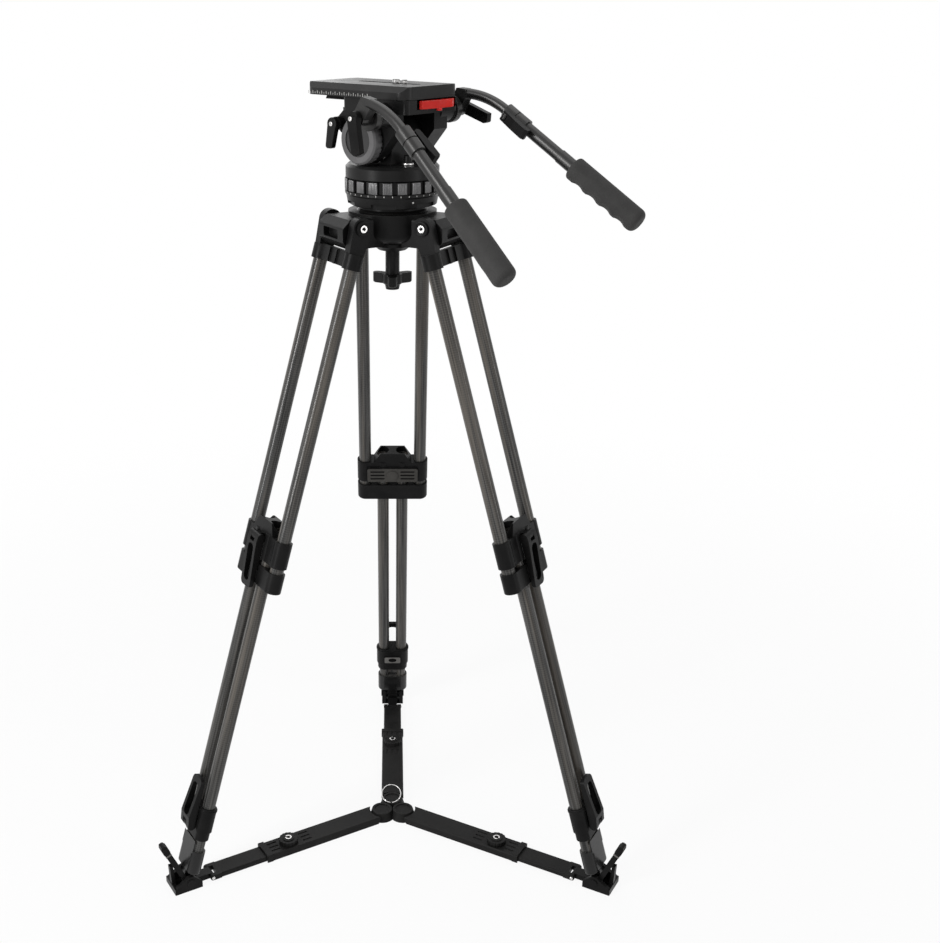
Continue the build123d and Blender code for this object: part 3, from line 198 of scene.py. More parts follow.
softbox("left_softbox", (-2.1, -1.7, 1.7), LAMP_AIM_LOW, (0.5, 2.2), 64)
softbox("right_softbox", (2.3, -1.2, 1.5), LAMP_AIM_LOW, (0.35, 2.2), 14)
softbox("top_softbox", (0.2, 0.5, 3.0), LAMP_AIM_HIGH, (1.8, 1.8), 15)
softbox("back_softbox", (-0.8, 2.4, 1.8), LAMP_AIM_HIGH, (1.4, 1.4), 9)


def seen_directly(tree):
    """Mask of camera, glossy and transmission rays, which see the white background."""
    path = tree.nodes.new("ShaderNodeLightPath")
    first = math_node(tree, "MAXIMUM", path.outputs["Is Camera Ray"], path.outputs["Is Glossy Ray"])
    return math_node(tree, "MAXIMUM", first, path.outputs["Is Transmission Ray"])


def plain_shader(tree, kind, grey):
    """A shader of one grey."""
    shader = tree.nodes.new(kind)
    shader.inputs["Color"].default_value = (grey, grey, grey, 1)
    return shader


def put_out(tree, mask, first, second, output):
    """Send the first shader out, or the second where a mask says so."""
    mix = tree.nodes.new("ShaderNodeMixShader")
    tree.links.new(mask, mix.inputs[0])
    tree.links.new(first.outputs[0], mix.inputs[1])
    tree.links.new(second.outputs[0], mix.inputs[2])
    tree.links.new(mix.outputs[0], tree.nodes.new(output).inputs["Surface"])


def white_room():
    """White behind the object, a plain soft grey for the light that falls on it."""
    world = bpy.data.worlds.new("white_room")
    bpy.context.scene.world = world
    world.use_nodes = True
    tree = world.node_tree
    tree.nodes.clear()
    ambient = plain_shader(tree, "ShaderNodeBackground", 1)
    ambient.inputs["Strength"].default_value = AMBIENT
    white = plain_shader(tree, "ShaderNodeBackground", 1)
    white.inputs["Strength"].default_value = 1.0
    put_out(tree, seen_directly(tree), ambient, white, "ShaderNodeOutputWorld")


white_room()


def pale_floor():
    """A round pale floor that keeps the object's shadow and lets the white of the room through.

    A leg that reaches below it at a pose still shows.
    """
    bpy.ops.object.select_all(action="DESELECT")
    bpy.ops.mesh.primitive_circle_add(vertices=96, radius=FLOOR_R, fill_type="NGON",
                                      location=(0, 0, 0))
    floor = bpy.context.object
    floor.name = "floor"
    material = bpy.data.materials.new("pale_floor")
    material.use_nodes = True
    tree = material.node_tree
    tree.nodes.clear()
    place = tree.nodes.new("ShaderNodeTexCoord")
    from_middle = length_of(tree, place.outputs["Object"])
    fade = ramp(tree, from_middle, FADE_FROM, FADE_TO, FLOOR_CLEAR, 1.0, "SMOOTHSTEP")
    share = math_node(tree, "MULTIPLY", fade, seen_directly(tree))
    put_out(tree, share, plain_shader(tree, "ShaderNodeBsdfDiffuse", FLOOR_GREY),
            plain_shader(tree, "ShaderNodeBsdfTransparent", 1), "ShaderNodeOutputMaterial")
    floor.data.materials.append(material)


pale_floor()


# Effects that several finishes share
def effect(name, inputs, outputs):
    """An empty node group with named sockets."""
    group = bpy.data.node_groups.new(name, "ShaderNodeTree")
    for label, kind, value in inputs:
        socket = group.interface.new_socket(label, in_out="INPUT", socket_type=kind)
        if value is not None:
            socket.default_value = value
    for label, kind in outputs:
        group.interface.new_socket(label, in_out="OUTPUT", socket_type=kind)
    start = group.nodes.new("NodeGroupInput")
    end = group.nodes.new("NodeGroupOutput")
    return group, start, end


def make_rounded_edges():
    """Rounds sharp edges for the light and marks where hands and knocks polish them, a mark that on
    the lug pads also carries a painted highlight.
    """
    group, start, end = effect(
        "rounded_edges",
        [("Radius", "NodeSocketFloat", 0.0006), ("Vector", "NodeSocketVector", None)],
        [("Normal", "NodeSocketVector"), ("Edge", "NodeSocketFloat")])
    bevel = group.nodes.new("ShaderNodeBevel")
    bevel.samples = 4
    group.links.new(start.outputs["Radius"], bevel.inputs["Radius"])
    geometry = group.nodes.new("ShaderNodeNewGeometry")
    dot = group.nodes.new("ShaderNodeVectorMath")
    dot.operation = "DOT_PRODUCT"
    group.links.new(bevel.outputs["Normal"], dot.inputs[0])
    group.links.new(geometry.outputs["Normal"], dot.inputs[1])
    edge = ramp(group, dot.outputs["Value"], 0.97, 0.75)
    patchy = ramp(group, noise(group, start.outputs["Vector"], 90.0, 3.0, 0.6), 0.38, 0.62)
    group.links.new(math_node(group, "MULTIPLY", edge, patchy), end.inputs["Edge"])
    group.links.new(bevel.outputs["Normal"], end.inputs["Normal"])
    return group


def make_coat_grain():
    """Fine pimples of a powder coat and the slow change of tone over it."""
    group, start, end = effect("coat_grain", [("Vector", "NodeSocketVector", None)],
                               [("Height", "NodeSocketFloat"), ("Tone", "NodeSocketFloat")])
    fine = noise(group, start.outputs["Vector"], 900.0, 2.0, 0.6)
    broad = noise(group, start.outputs["Vector"], 28.0, 3.0, 0.55)
    group.links.new(fine, end.inputs["Height"])
    tone = weighted(group, broad, 0.75, fine, 0.25)
    group.links.new(ramp(group, tone, 0.35, 0.65), end.inputs["Tone"])
    return group


def make_long_fibres():
    """Fibres and resin streaks that run along Z, crossed by faint windings."""
    group, start, end = effect(
        "long_fibres", [("Vector", "NodeSocketVector", None)],
        [(label, "NodeSocketFloat") for label in ("Height", "Tone", "Warmth")])
    vector = start.outputs["Vector"]
    streak = noise(group, stretched(group, vector, (420, 420, 6)), 1.0, 3.0, 0.65)
    broad = noise(group, stretched(group, vector, (110, 110, 2.5)), 1.0, 2.0, 0.5)
    wound = group.nodes.new("ShaderNodeTexWave")
    wound.wave_type = "BANDS"
    wound.bands_direction = "Z"
    wound.inputs["Scale"].default_value = 95.0
    wound.inputs["Distortion"].default_value = 2.5
    wound.inputs["Detail"].default_value = 2.0
    group.links.new(vector, wound.inputs["Vector"])
    faint = math_node(group, "MULTIPLY", wound.outputs["Fac"], 0.05)
    crossed = math_node(group, "ADD", weighted(group, streak, 0.6, broad, 0.4), faint)
    group.links.new(ramp(group, crossed, 0.4, 0.66), end.inputs["Tone"])
    group.links.new(ramp(group, broad, 0.42, 0.62), end.inputs["Warmth"])
    raised = math_node(group, "MULTIPLY", wound.outputs["Fac"], 0.35)
    group.links.new(math_node(group, "ADD", streak, raised), end.inputs["Height"])
    return group


rounded_edges = make_rounded_edges()
coat_grain = make_coat_grain()
long_fibres = make_long_fibres()


# Finishes
def own_frame(tree, place):
    """Coordinates in the frame of a piece, in metres."""
    coords = tree.nodes.new("ShaderNodeTexCoord")
    mapping = tree.nodes.new("ShaderNodeMapping")
    mapping.vector_type = "TEXTURE"
    mapping.inputs["Location"].default_value = place.to_translation()
    mapping.inputs["Rotation"].default_value = place.to_euler()
    tree.links.new(coords.outputs["Object"], mapping.inputs["Vector"])
    return mapping.outputs["Vector"]


def new_finish(name, place=Matrix()):
    """A material with its shader, and the coordinates of a piece's own frame."""
    material = bpy.data.materials.new(name)
    material.use_nodes = True
    tree = material.node_tree
    return material, tree, tree.nodes["Principled BSDF"], own_frame(tree, place)


def placed(tree, group, vector, **values):
    """A shared effect with its own values."""
    node = tree.nodes.new("ShaderNodeGroup")
    node.node_tree = group
    tree.links.new(vector, node.inputs["Vector"])
    for label, value in values.items():
        node.inputs[label].default_value = value
    return node


def blend_colours(tree, factor, first, second):
    """A colour between two, each a plain colour or a socket."""
    node = tree.nodes.new("ShaderNodeMix")
    node.data_type = "RGBA"
    tree.links.new(factor, node.inputs["Factor"])
    for socket, value in ((node.inputs["A"], first), (node.inputs["B"], second)):
        if isinstance(value, tuple):
            socket.default_value = (*value, 1)
        else:
            tree.links.new(value, socket)
    return node.outputs["Result"]


def relief(tree, shader, height, normal, strength, distance):
    """Fine relief on top of the rounded edges."""
    bump = tree.nodes.new("ShaderNodeBump")
    bump.inputs["Strength"].default_value = strength
    bump.inputs["Distance"].default_value = distance
    tree.links.new(height, bump.inputs["Height"])
    tree.links.new(normal, bump.inputs["Normal"])
    tree.links.new(bump.outputs["Normal"], shader.inputs["Normal"])


def coated(name, dark, light, edge_wear_and_highlight, roughness, metallic=0.0, specular=0.3, grain=0.35,
           radius=0.0006):
    """A coated, moulded or blasted surface with grain, slow change of tone and rubbed edges; on the
    lug pads the edge colour is also a painted highlight.
    """
    material, tree, shader, vector = new_finish(name)
    edges = placed(tree, rounded_edges, vector, Radius=radius)
    surface = placed(tree, coat_grain, vector)
    tone = surface.outputs["Tone"]
    colour = blend_colours(tree, tone, dark, light)
    colour = blend_colours(tree, edges.outputs["Edge"], colour, edge_wear_and_highlight)
    tree.links.new(colour, shader.inputs["Base Color"])
    tree.links.new(ramp(tree, tone, 0, 1, roughness - 0.06, roughness + 0.06),
                   shader.inputs["Roughness"])
    shader.inputs["Metallic"].default_value = metallic
    shader.inputs["Specular IOR Level"].default_value = specular
    relief(tree, shader, surface.outputs["Height"], edges.outputs["Normal"], grain, 0.0003)
    return material


def carbon_tube(name, place):
    """Carbon tube with fibres along the leg and a thin clear coat."""
    material, tree, shader, vector = new_finish(name, place)
    edges = placed(tree, rounded_edges, vector, Radius=0.0004)
    fibres = placed(tree, long_fibres, vector)
    tone = fibres.outputs["Tone"]
    cool = blend_colours(tree, tone, (0.007, 0.0069, 0.0067), (0.12, 0.118, 0.114))
    warm = blend_colours(tree, tone, (0.009, 0.0081, 0.0071), (0.118, 0.106, 0.092))
    tree.links.new(blend_colours(tree, fibres.outputs["Warmth"], cool, warm),
                   shader.inputs["Base Color"])
    tree.links.new(ramp(tree, tone, 0, 1, 0.36, 0.26), shader.inputs["Roughness"])
    shader.inputs["Specular IOR Level"].default_value = 0.15
    shader.inputs["Coat Weight"].default_value = 0.3
    shader.inputs["Coat Roughness"].default_value = 0.15
    relief(tree, shader, fibres.outputs["Height"], edges.outputs["Normal"], 0.25, 0.0002)
    return material


def brushed_tube(name, place):
    """Dark anodised alloy with drawing lines along the bar."""
    material, tree, shader, vector = new_finish(name, place)
    edges = placed(tree, rounded_edges, vector, Radius=0.0006)
    lines = placed(tree, long_fibres, vector)
    tone = lines.outputs["Tone"]
    colour = blend_colours(tree, tone, (0.043, 0.0425, 0.042), (0.049, 0.0484, 0.0478))
    colour = blend_colours(tree, edges.outputs["Edge"], colour, (0.06, 0.059, 0.058))
    tree.links.new(colour, shader.inputs["Base Color"])
    tree.links.new(ramp(tree, tone, 0, 1, 0.3, 0.33), shader.inputs["Roughness"])
    shader.inputs["Metallic"].default_value = 0.8
    shader.inputs["Specular IOR Level"].default_value = 0.2
    relief(tree, shader, lines.outputs["Height"], edges.outputs["Normal"], 0.012, 0.0002)
    return material


def past(tree, place, axis, side, limit):
    """Mask of what lies past a limit on one axis of a frame, in millimetres."""
    split = tree.nodes.new("ShaderNodeSeparateXYZ")
    tree.links.new(own_frame(tree, place), split.inputs["Vector"])
    test = "GREATER_THAN" if side > 0 else "LESS_THAN"
    return math_node(tree, test, split.outputs[axis], limit * MM)


def near_axis(tree, place, radius):
    """Mask of what lies within a radius of a frame's Z axis, in millimetres."""
    flat = tree.nodes.new("ShaderNodeVectorMath")
    flat.operation = "MULTIPLY"
    flat.inputs[1].default_value = (1, 1, 0)
    tree.links.new(own_frame(tree, place), flat.inputs[0])
    return math_node(tree, "LESS_THAN", length_of(tree, flat.outputs["Vector"]), radius * MM)


def second_finish(material, mask, dark, light, roughness, metallic=0.0):
    """Another finish on the part of a piece that a mask covers."""
    tree = material.node_tree
    sockets = tree.nodes["Principled BSDF"].inputs
    surface = placed(tree, coat_grain, own_frame(tree, Matrix()))
    tone = blend_colours(tree, surface.outputs["Tone"], dark, light)
    first = sockets["Base Color"].links[0].from_socket
    tree.links.new(blend_colours(tree, mask, first, tone), sockets["Base Color"])
    rough = tree.nodes.new("ShaderNodeMix")
    rough.data_type = "FLOAT"
    tree.links.new(mask, rough.inputs["Factor"])
    tree.links.new(sockets["Roughness"].links[0].from_socket, rough.inputs["A"])
    rough.inputs["B"].default_value = roughness
    tree.links.new(rough.outputs["Result"], sockets["Roughness"])
    tree.links.new(ramp(tree, mask, 0, 1, sockets["Metallic"].default_value, metallic),
                   sockets["Metallic"])


CASTING_DARK = (0.0045, 0.0045, 0.0046)
CASTING_LIGHT = (0.0095, 0.0093, 0.0093)
CASTING_RUBBED = (0.04, 0.039, 0.039)
CASTING_ROUGH = 0.36


def casting(name):
    """Black coat of a casting."""
    return coated(name, CASTING_DARK, CASTING_LIGHT, CASTING_RUBBED, CASTING_ROUGH, specular=0.09)


black_casting = casting("black_casting")
satin_shell = coated("satin_shell", (0.006, 0.006, 0.006), (0.0105, 0.0103, 0.0103),
                     (0.035, 0.034, 0.034), roughness=0.36, specular=0.14, grain=0.12)
black_plastic = coated("black_plastic", (0.006, 0.0059, 0.0059), (0.012, 0.0117, 0.0117),
                       (0.035, 0.034, 0.034), roughness=0.36, specular=0.08, grain=0.25)
spreader_plastic = coated("spreader_plastic", (0.01, 0.0099, 0.0097), (0.018, 0.0176, 0.0172),
                          (0.04, 0.039, 0.038), roughness=0.42, specular=0.08, grain=0.35)
grip_rubber = coated("grip_rubber", (0.04, 0.0395, 0.039), (0.06, 0.059, 0.058),
                     (0.08, 0.079, 0.078), roughness=0.62, specular=0.1, grain=0.5)
bright_steel = coated("bright_steel", (0.62, 0.61, 0.6), (0.74, 0.73, 0.72), (0.85, 0.84, 0.83),
                      roughness=0.26, metallic=1.0, specular=0.5, grain=0.05, radius=0.0003)
grey_dial = coated("grey_dial", (0.09, 0.089, 0.09), (0.122, 0.12, 0.122), (0.2, 0.2, 0.2),
                   roughness=0.46, metallic=0.25, specular=0.25, grain=0.2)
red_enamel = coated("red_enamel", (0.72, 0.014, 0.01), (0.86, 0.03, 0.02), (0.92, 0.16, 0.12),
                    roughness=0.24, specular=0.2, grain=0.08)
plate_anodise = coated("plate_anodise", (0.014, 0.0138, 0.0137), (0.022, 0.0216, 0.0214),
                       (0.1, 0.098, 0.097), roughness=0.36, metallic=0.1, specular=0.16, grain=0.14)
white_paint = coated("white_paint", (0.62, 0.61, 0.59), (0.75, 0.74, 0.72), (0.8, 0.8, 0.78),
                     roughness=0.55, specular=0.3, grain=0.1, radius=0.0001)
faded_paint = coated("faded_paint", (0.36, 0.355, 0.345), (0.46, 0.455, 0.44), (0.5, 0.5, 0.49),
                     roughness=0.55, specular=0.3, grain=0.1, radius=0.0001)
# Lug pads: pale edge colour, partly wear and partly a painted highlight along their edges.
satin_lug = coated("satin_lug", (0.1, 0.099, 0.1), (0.155, 0.153, 0.155), (0.48, 0.48, 0.48),
                   roughness=0.36, metallic=0.5, specular=0.4, grain=0.2)
label_grey = coated("label_grey", (0.11, 0.105, 0.1), (0.15, 0.145, 0.14), (0.2, 0.2, 0.19),
                    roughness=0.5, specular=0.3, grain=0.2)

# The leg castings, whose clamp carries a paler panel, and the lower legs, whose bracket is cast
PANEL_Y = -15.6
BRACKET_Z = -961.0
BRACKET_Y = 8.4
casting_finish = {}
foot_finish = {}
for leg, place in legs.items():
    casting_finish[leg] = casting(f"casting_{leg}")
    panel = past(casting_finish[leg].node_tree, place, "Y", -1, PANEL_Y)
    second_finish(casting_finish[leg], panel, (0.045, 0.043, 0.04), (0.06, 0.057, 0.053), 0.5)
    foot_finish[leg] = carbon_tube(f"carbon_foot_{leg}", place)
    tree = foot_finish[leg].node_tree
    bracket = math_node(tree, "MAXIMUM", past(tree, place, "Z", -1, BRACKET_Z),
                        past(tree, place, "Y", 1, BRACKET_Y))
    second_finish(foot_finish[leg], bracket, CASTING_DARK, CASTING_LIGHT, CASTING_ROUGH)

# Steel screws that stand out of the plate, and the darker middle of the dial
DIAL_MIDDLE_R = 22.0
screw_tops = past(plate_anodise.node_tree, Matrix(), "Z", 1, PLATE_TOP + 0.2)
second_finish(plate_anodise, screw_tops, (0.13, 0.128, 0.125), (0.2, 0.197, 0.194), 0.3, 1.0)
dial_axis = head @ shift(TILT_X, 0, TILT_Z) @ turned(90, "X")
dial_middle = near_axis(grey_dial.node_tree, dial_axis, DIAL_MIDDLE_R)
second_finish(grey_dial, dial_middle, (0.028, 0.0277, 0.028), (0.042, 0.0415, 0.042), 0.5, 0.2)

tube_finish = {leg: carbon_tube(f"carbon_{leg}", place) for leg, place in legs.items()}
bar_finish = {side: brushed_tube(f"anodised_{side}", rosettes[side] @ bar) for side in SIDES}


def paint(node, material):
    """Give a CAD node its finish."""
    slots = nodes[node].data.materials
    slots.clear()
    slots.append(material)


for node in nodes:
    paint(node, black_casting)
for node in ("head_body", "levelling_base", "tilt_platform", "tie_down_knob", "clamp_cup",
             "tilt_brake_lever", "pan_drag_ring", "pan_brake_knob"):
    paint(node, satin_shell)
for side in SIDES:
    for piece in ("handle_arm", "pan_bar_tube"):
        paint(f"{side}_{piece}", bar_finish[side])
    for piece in ("wing_screw", "clamp_lever"):
        paint(f"{side}_{piece}", black_plastic)
for leg in legs:
    for piece in ("upper_tubes", "mid_tubes"):
        paint(f"{leg}_{piece}", tube_finish[leg])
    paint(f"{leg}_lower_leg", foot_finish[leg])
    paint(f"{leg}_leg_castings", casting_finish[leg])
    for piece in ("upper_clamp_lever", "lower_clamp_lever", "foot_latch", "foot_shoe"):
        paint(f"{leg}_{piece}", black_plastic)
    for piece in ("outer_arm", "inner_arm", "spreader_knob"):
        paint(f"{leg}_{piece}", spreader_plastic)
paint("spreader_hub", spreader_plastic)
paint("leg_hinge_pins", bright_steel)
paint("tilt_drag_dial", grey_dial)
paint("camera_plate", plate_anodise)
paint("plate_lock_lever", red_enamel)


# Modelling by hand, in millimetres
def begin():
    """Leave nothing selected."""
    bpy.ops.object.select_all(action="DESELECT")


def named(name):
    """The piece that was just added, under its own name."""
    piece = bpy.context.object
    piece.name = name
    piece.data.name = name
    return piece


def only(piece):
    """Select one piece and make it the active one."""
    begin()
    piece.select_set(True)
    bpy.context.view_layer.objects.active = piece


def edit(piece, kind):
    """Open a piece in edit mode with nothing picked."""
    only(piece)
    bpy.ops.object.mode_set(mode="EDIT")
    bpy.ops.mesh.select_mode(type=kind)
    bpy.ops.mesh.select_all(action="DESELECT")


def leave():
    """Back to object mode."""
    bpy.ops.object.mode_set(mode="OBJECT")


def pick(piece, kind, test):
    """Pick the faces, edges or points that pass a test."""
    mesh = bmesh.from_edit_mesh(piece.data)
    for item in getattr(mesh, kind):
        item.select_set(bool(test(item)))
    mesh.select_flush_mode()
    bmesh.update_edit_mesh(piece.data)


def pick_faces(piece, test):
    """Pick faces by their centre and their normal."""
    pick(piece, "faces", lambda face: test(face.calc_center_median() / MM, face.normal))


def pick_edges(piece, test):
    """Pick edges by their two ends."""
    pick(piece, "edges", lambda edge: test(edge.verts[0].co / MM, edge.verts[1].co / MM))


def pick_points(piece, test):
    """Pick points by their place."""
    pick(piece, "verts", lambda point: test(point.co / MM))


def faces_up(centre, normal):
    """Whether a face looks up."""
    return normal.z > 0.9


def disc(name, radius, low, high, sides=32):
    """A round blank that stands on Z."""
    begin()
    bpy.ops.mesh.primitive_cylinder_add(vertices=sides, radius=radius * MM, depth=(high - low) * MM,
                                        location=(0, 0, (high + low) / 2 * MM))
    piece = named(name)
    bpy.ops.object.transform_apply(location=True, rotation=True, scale=True)
    return piece


def block(name, low, high):
    """A square blank between two corners."""
    begin()
    middle = [(a + b) / 2 * MM for a, b in zip(low, high)]
    bpy.ops.mesh.primitive_cube_add(size=1, location=middle)
    piece = named(name)
    piece.scale = [(b - a) * MM for a, b in zip(low, high)]
    bpy.ops.object.transform_apply(location=True, rotation=True, scale=True)
    return piece


def apply_modifiers(piece):
    """Make a piece's modifiers part of its mesh."""
    only(piece)
    for modifier in list(piece.modifiers):
        bpy.ops.object.modifier_apply(modifier=modifier.name)


def bevel_edges(piece, test, offset, segments):
    """Bevel the edges whose two ends pass a test."""
    edit(piece, "EDGE")
    pick_edges(piece, test)
    bpy.ops.mesh.bevel(offset=offset * MM, segments=segments, affect="EDGES")
    leave()


def soften(piece, offset, segments=2):
    """Bevel every sharp edge of a piece."""
    bevel = piece.modifiers.new("soften", "BEVEL")
    bevel.width = offset * MM
    bevel.segments = segments
    bevel.limit_method = "ANGLE"
    apply_modifiers(piece)
    return piece


def cut(piece, cutter):
    """Take one piece out of another."""
    boolean = piece.modifiers.new("cut", "BOOLEAN")
    boolean.operation = "DIFFERENCE"
    boolean.solver = "EXACT"
    boolean.object = cutter
    apply_modifiers(piece)
    bpy.data.objects.remove(cutter)


def joined(name, pieces):
    """Several pieces as one."""
    only(pieces[0])
    for piece in pieces[1:]:
        piece.select_set(True)
    if len(pieces) > 1:
        bpy.ops.object.join()
    return named(name)


def copy_of(piece, name):
    """A copy with its own mesh."""
    copy = piece.copy()
    copy.data = piece.data.copy()
    copy.name = name
    copy.data.name = name
    bpy.context.scene.collection.objects.link(copy)
    return copy


def moved(piece, place):
    """Put a place into a piece's mesh."""
    only(piece)
    piece.matrix_world = place
    bpy.ops.object.transform_apply(location=True, rotation=True, scale=True)
    if place.determinant() < 0:
        bpy.ops.object.mode_set(mode="EDIT")
        bpy.ops.mesh.select_all(action="SELECT")
        bpy.ops.mesh.normals_make_consistent(inside=False)
        leave()
    return piece


def smooth(piece, angle=35):
    """Smooth shading with the sharp edges kept."""
    only(piece)
    bpy.ops.object.shade_smooth_by_angle(angle=radians(angle))


def seat(piece, place, body, finish):
    """Put a modelled piece in its place on a body."""
    moved(piece, place)
    smooth(piece)
    piece.data.materials.clear()
    piece.data.materials.append(finish)
    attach(piece, body)


def seat_copies(pattern, spots, finish):
    """Seat a copy of a pattern at each spot, a name, a place and a body; the pattern goes."""
    for name, place, body in spots:
        seat(copy_of(pattern, name), place, body, finish)
    bpy.data.objects.remove(pattern)


def screw_head(name, radius, height):
    """A round screw head with a soft rim and a hexagon socket, standing on Z."""
    rim, socket_r, socket_floor = radius * 0.16, radius * 0.52, height * 0.45
    screw = disc(name, radius, 0, height)
    bevel_edges(screw, lambda a, b: min(a.z, b.z) > height * 0.9, rim, 3)
    cut(screw, disc("socket", socket_r, socket_floor, height + 1, 6))
    return screw


# Screw heads on the levers of the head
WING_FACE = 42.0
BRAKE_FACE = (-49.0, -69.3, TILT_Z + 19.0)
lever_faces = [(f"{side}_wing_screw_head",
                rosettes[side] @ shift(0, WING_FACE, 0) @ turned(-90, "X"), f"{side}_wing_screw")
               for side in SIDES]
lever_faces.append(("tilt_brake_screw_head", head @ shift(*BRAKE_FACE) @ turned(90, "X"),
                    "tilt_brake_lever"))
seat_copies(screw_head("lever_screw", 3.0, 1.8), lever_faces, bright_steel)

# Black caps round the silver hinge pins
CAP_R = 10.2
CAP_HIGH = 3.5
CAP_RIM = 2.2
CAP_DISH = 0.6
CAP_HOLE_R = 4.9
CAP_OUT = 51.3
SOCKET_SHADE_R = 2.2


def hinge_cap():
    """A dished ring that leaves the pin's head bare, and a black hexagon in the head, painted shade
    that stands for its socket.
    """
    ring = disc("hinge_cap", CAP_R, 0, CAP_HIGH, 40)
    edit(ring, "FACE")
    pick_faces(ring, faces_up)
    bpy.ops.mesh.inset(thickness=CAP_RIM * MM, depth=0)
    bpy.ops.mesh.inset(thickness=CAP_DISH * MM, depth=-CAP_DISH * MM)
    leave()
    cut(ring, disc("pin_hole", CAP_HOLE_R, -1, 5, 40))
    # Painted shade: a black hexagon where the pin head's socket would be dark inside.
    socket = disc("pin_socket_shade", SOCKET_SHADE_R, 0.7, 2.5, 6)
    return soften(joined("hinge_cap", [ring, socket]), 0.35)


seat_copies(hinge_cap(), [
    (f"{leg}_hinge_cap_{end}", hinge @ turned(spin, "Y") @ shift(0, 0, CAP_OUT), "crown")
    for leg, hinge in hinges.items() for end, spin in PIN_ENDS.items()], black_plastic)

# Threads of the two camera screws: place along the plate, radius, pitch and turns
CAMERA_SCREWS = {"large": (6.6, 4.5, 1.5875, 2), "small": (22.2, 2.95, 1.27, 2)}
THREAD_STEPS = 28
THREAD_FROM = 0.7


def thread(name, radius, pitch, turns):
    """A ridge wound round a screw, closed at both ends."""
    begin()
    bpy.ops.mesh.primitive_circle_add(vertices=3, radius=0.52 * pitch * MM,
                                      location=(radius * MM, 0, 0), rotation=(pi / 2, 0, 0))
    ridge = named(name)
    bpy.ops.object.transform_apply(location=True, rotation=True, scale=True)
    winding = ridge.modifiers.new("winding", "SCREW")
    winding.axis = "Z"
    winding.angle = 2 * pi
    winding.screw_offset = pitch * MM
    winding.iterations = turns
    winding.steps = THREAD_STEPS
    winding.render_steps = THREAD_STEPS
    apply_modifiers(ridge)
    edit(ridge, "VERT")
    bpy.ops.mesh.select_all(action="SELECT")
    bpy.ops.mesh.remove_doubles(threshold=0.00001)
    bpy.ops.mesh.fill_holes(sides=3)
    bpy.ops.mesh.normals_make_consistent(inside=False)
    leave()
    return ridge


for label, (screw_x, screw_r, pitch, turns) in CAMERA_SCREWS.items():
    seat(thread(f"{label}_camera_thread", screw_r, pitch, turns),
         head @ shift(screw_x, 0, PLATE_TOP + THREAD_FROM), "camera_plate", bright_steel)

# Painted marks along the plate and round the flange
MARK_PROUD = 0.12
PLATE_CORNER = (-105.0, -56.0, TILT_Z + 56.0)
PLATE_STEP = 8.5
FLANGE_R = 66.0
FLANGE_Z = BOWL_Z + 25.8
FLANGE_STEP = 10


def mark(name, width, low, high):
    """One painted mark, upright on the plane Y = 0."""
    corners = (-width / 2, -MARK_PROUD, low), (width / 2, MARK_PROUD, high)
    return soften(block(name, *corners), 0.05, 1)


def marks_along(name, width, height, count):
    """A row of marks along X, one for each step of the plate."""
    row = mark(name, width, 0, height)
    repeat = row.modifiers.new("repeat", "ARRAY")
    repeat.count = count
    repeat.use_relative_offset = False
    repeat.use_constant_offset = True
    repeat.constant_offset_displace = (PLATE_STEP * MM, 0, 0)
    apply_modifiers(row)
    return row


def marks_round(name, width, height):
    """A row of marks round the flange."""
    return joined(name, [
        moved(mark("mark", width, -height / 2, height / 2),
              turned(turn, "Z") @ shift(0, -FLANGE_R, 0))
        for turn in range(0, 360, FLANGE_STEP)])


long_marks = marks_along("long_marks", 1.0, 4.0, 14)
short_marks = moved(marks_along("short_marks", 0.8, 2.3, 13), shift(PLATE_STEP / 2, 0, 0))
seat(joined("plate_scale", [long_marks, short_marks]), head @ shift(*PLATE_CORNER),
     "camera_plate", faded_paint)
seat(marks_round("flange_scale", 0.8, 2.0), shift(0, 0, FLANGE_Z), "levelling_base", white_paint)

# White spot on the sloping rim of the flange
POINTER_TURN = 26
POINTER_R = 63.5
POINTER_Z = BOWL_Z + 17.0
RIM_SLOPE = 11
pointer = soften(disc("flange_pointer", 1.3, -0.15, 0.35, 20), 0.1, 1)
rim = turned(POINTER_TURN, "Z") @ shift(0, -POINTER_R, POINTER_Z) @ turned(90 + RIM_SLOPE, "X")
seat(pointer, rim, "levelling_base", white_paint)

# Plain numbers for the drag steps, round the rim of the left drum
DRUM_R = 32.0
DRUM_Y = -36.0
NUMBER_SIZE = 5.2
FIRST_NUMBER = -41
NUMBER_STEP = 18


def drum_numbers():
    """The numbers 0 to 7 round the Y axis, facing out."""
    figures = []
    for step in range(8):
        begin()
        bpy.ops.object.text_add(location=(0, 0, 0))
        figure = bpy.context.object
        figure.data.body = str(step)
        figure.data.size = NUMBER_SIZE * MM
        figure.data.extrude = MARK_PROUD * MM
        figure.data.align_x = "CENTER"
        figure.data.align_y = "CENTER"
        bpy.ops.object.convert(target="MESH")
        upright = shift(DRUM_R, 0, 0) @ turned(90, "Y") @ turned(90, "Z")
        figures.append(moved(figure, turned(FIRST_NUMBER + NUMBER_STEP * step, "Y") @ upright))
    return joined("drum_numbers", figures)


seat(drum_numbers(), head @ shift(TILT_X, DRUM_Y, TILT_Z), "tilt_platform", white_paint)

# Toothed faces of the two rosettes
TEETH = 40
TOOTH_ROOT = 0.94
PLATFORM_TEETH_R = 17.4
PLATFORM_TEETH_DEEP = 3.0
ARM_TEETH_R = 18.6
ARM_TEETH_DEEP = 2.0
ARM_TEETH_FROM = 1.2


def rosette_teeth(name, radius, thickness):
    """A ring of fine teeth round the Z axis."""
    ring = disc(name, radius, 0, thickness, 2 * TEETH)
    edit(ring, "VERT")
    step = pi / TEETH
    ahead = Vector((1, 0))
    pick_points(ring, lambda p: round(p.xy.angle_signed(ahead) / step) % 2 == 0)
    bpy.ops.transform.resize(value=(TOOTH_ROOT, TOOTH_ROOT, 1))
    leave()
    return soften(ring, 0.12, 1)


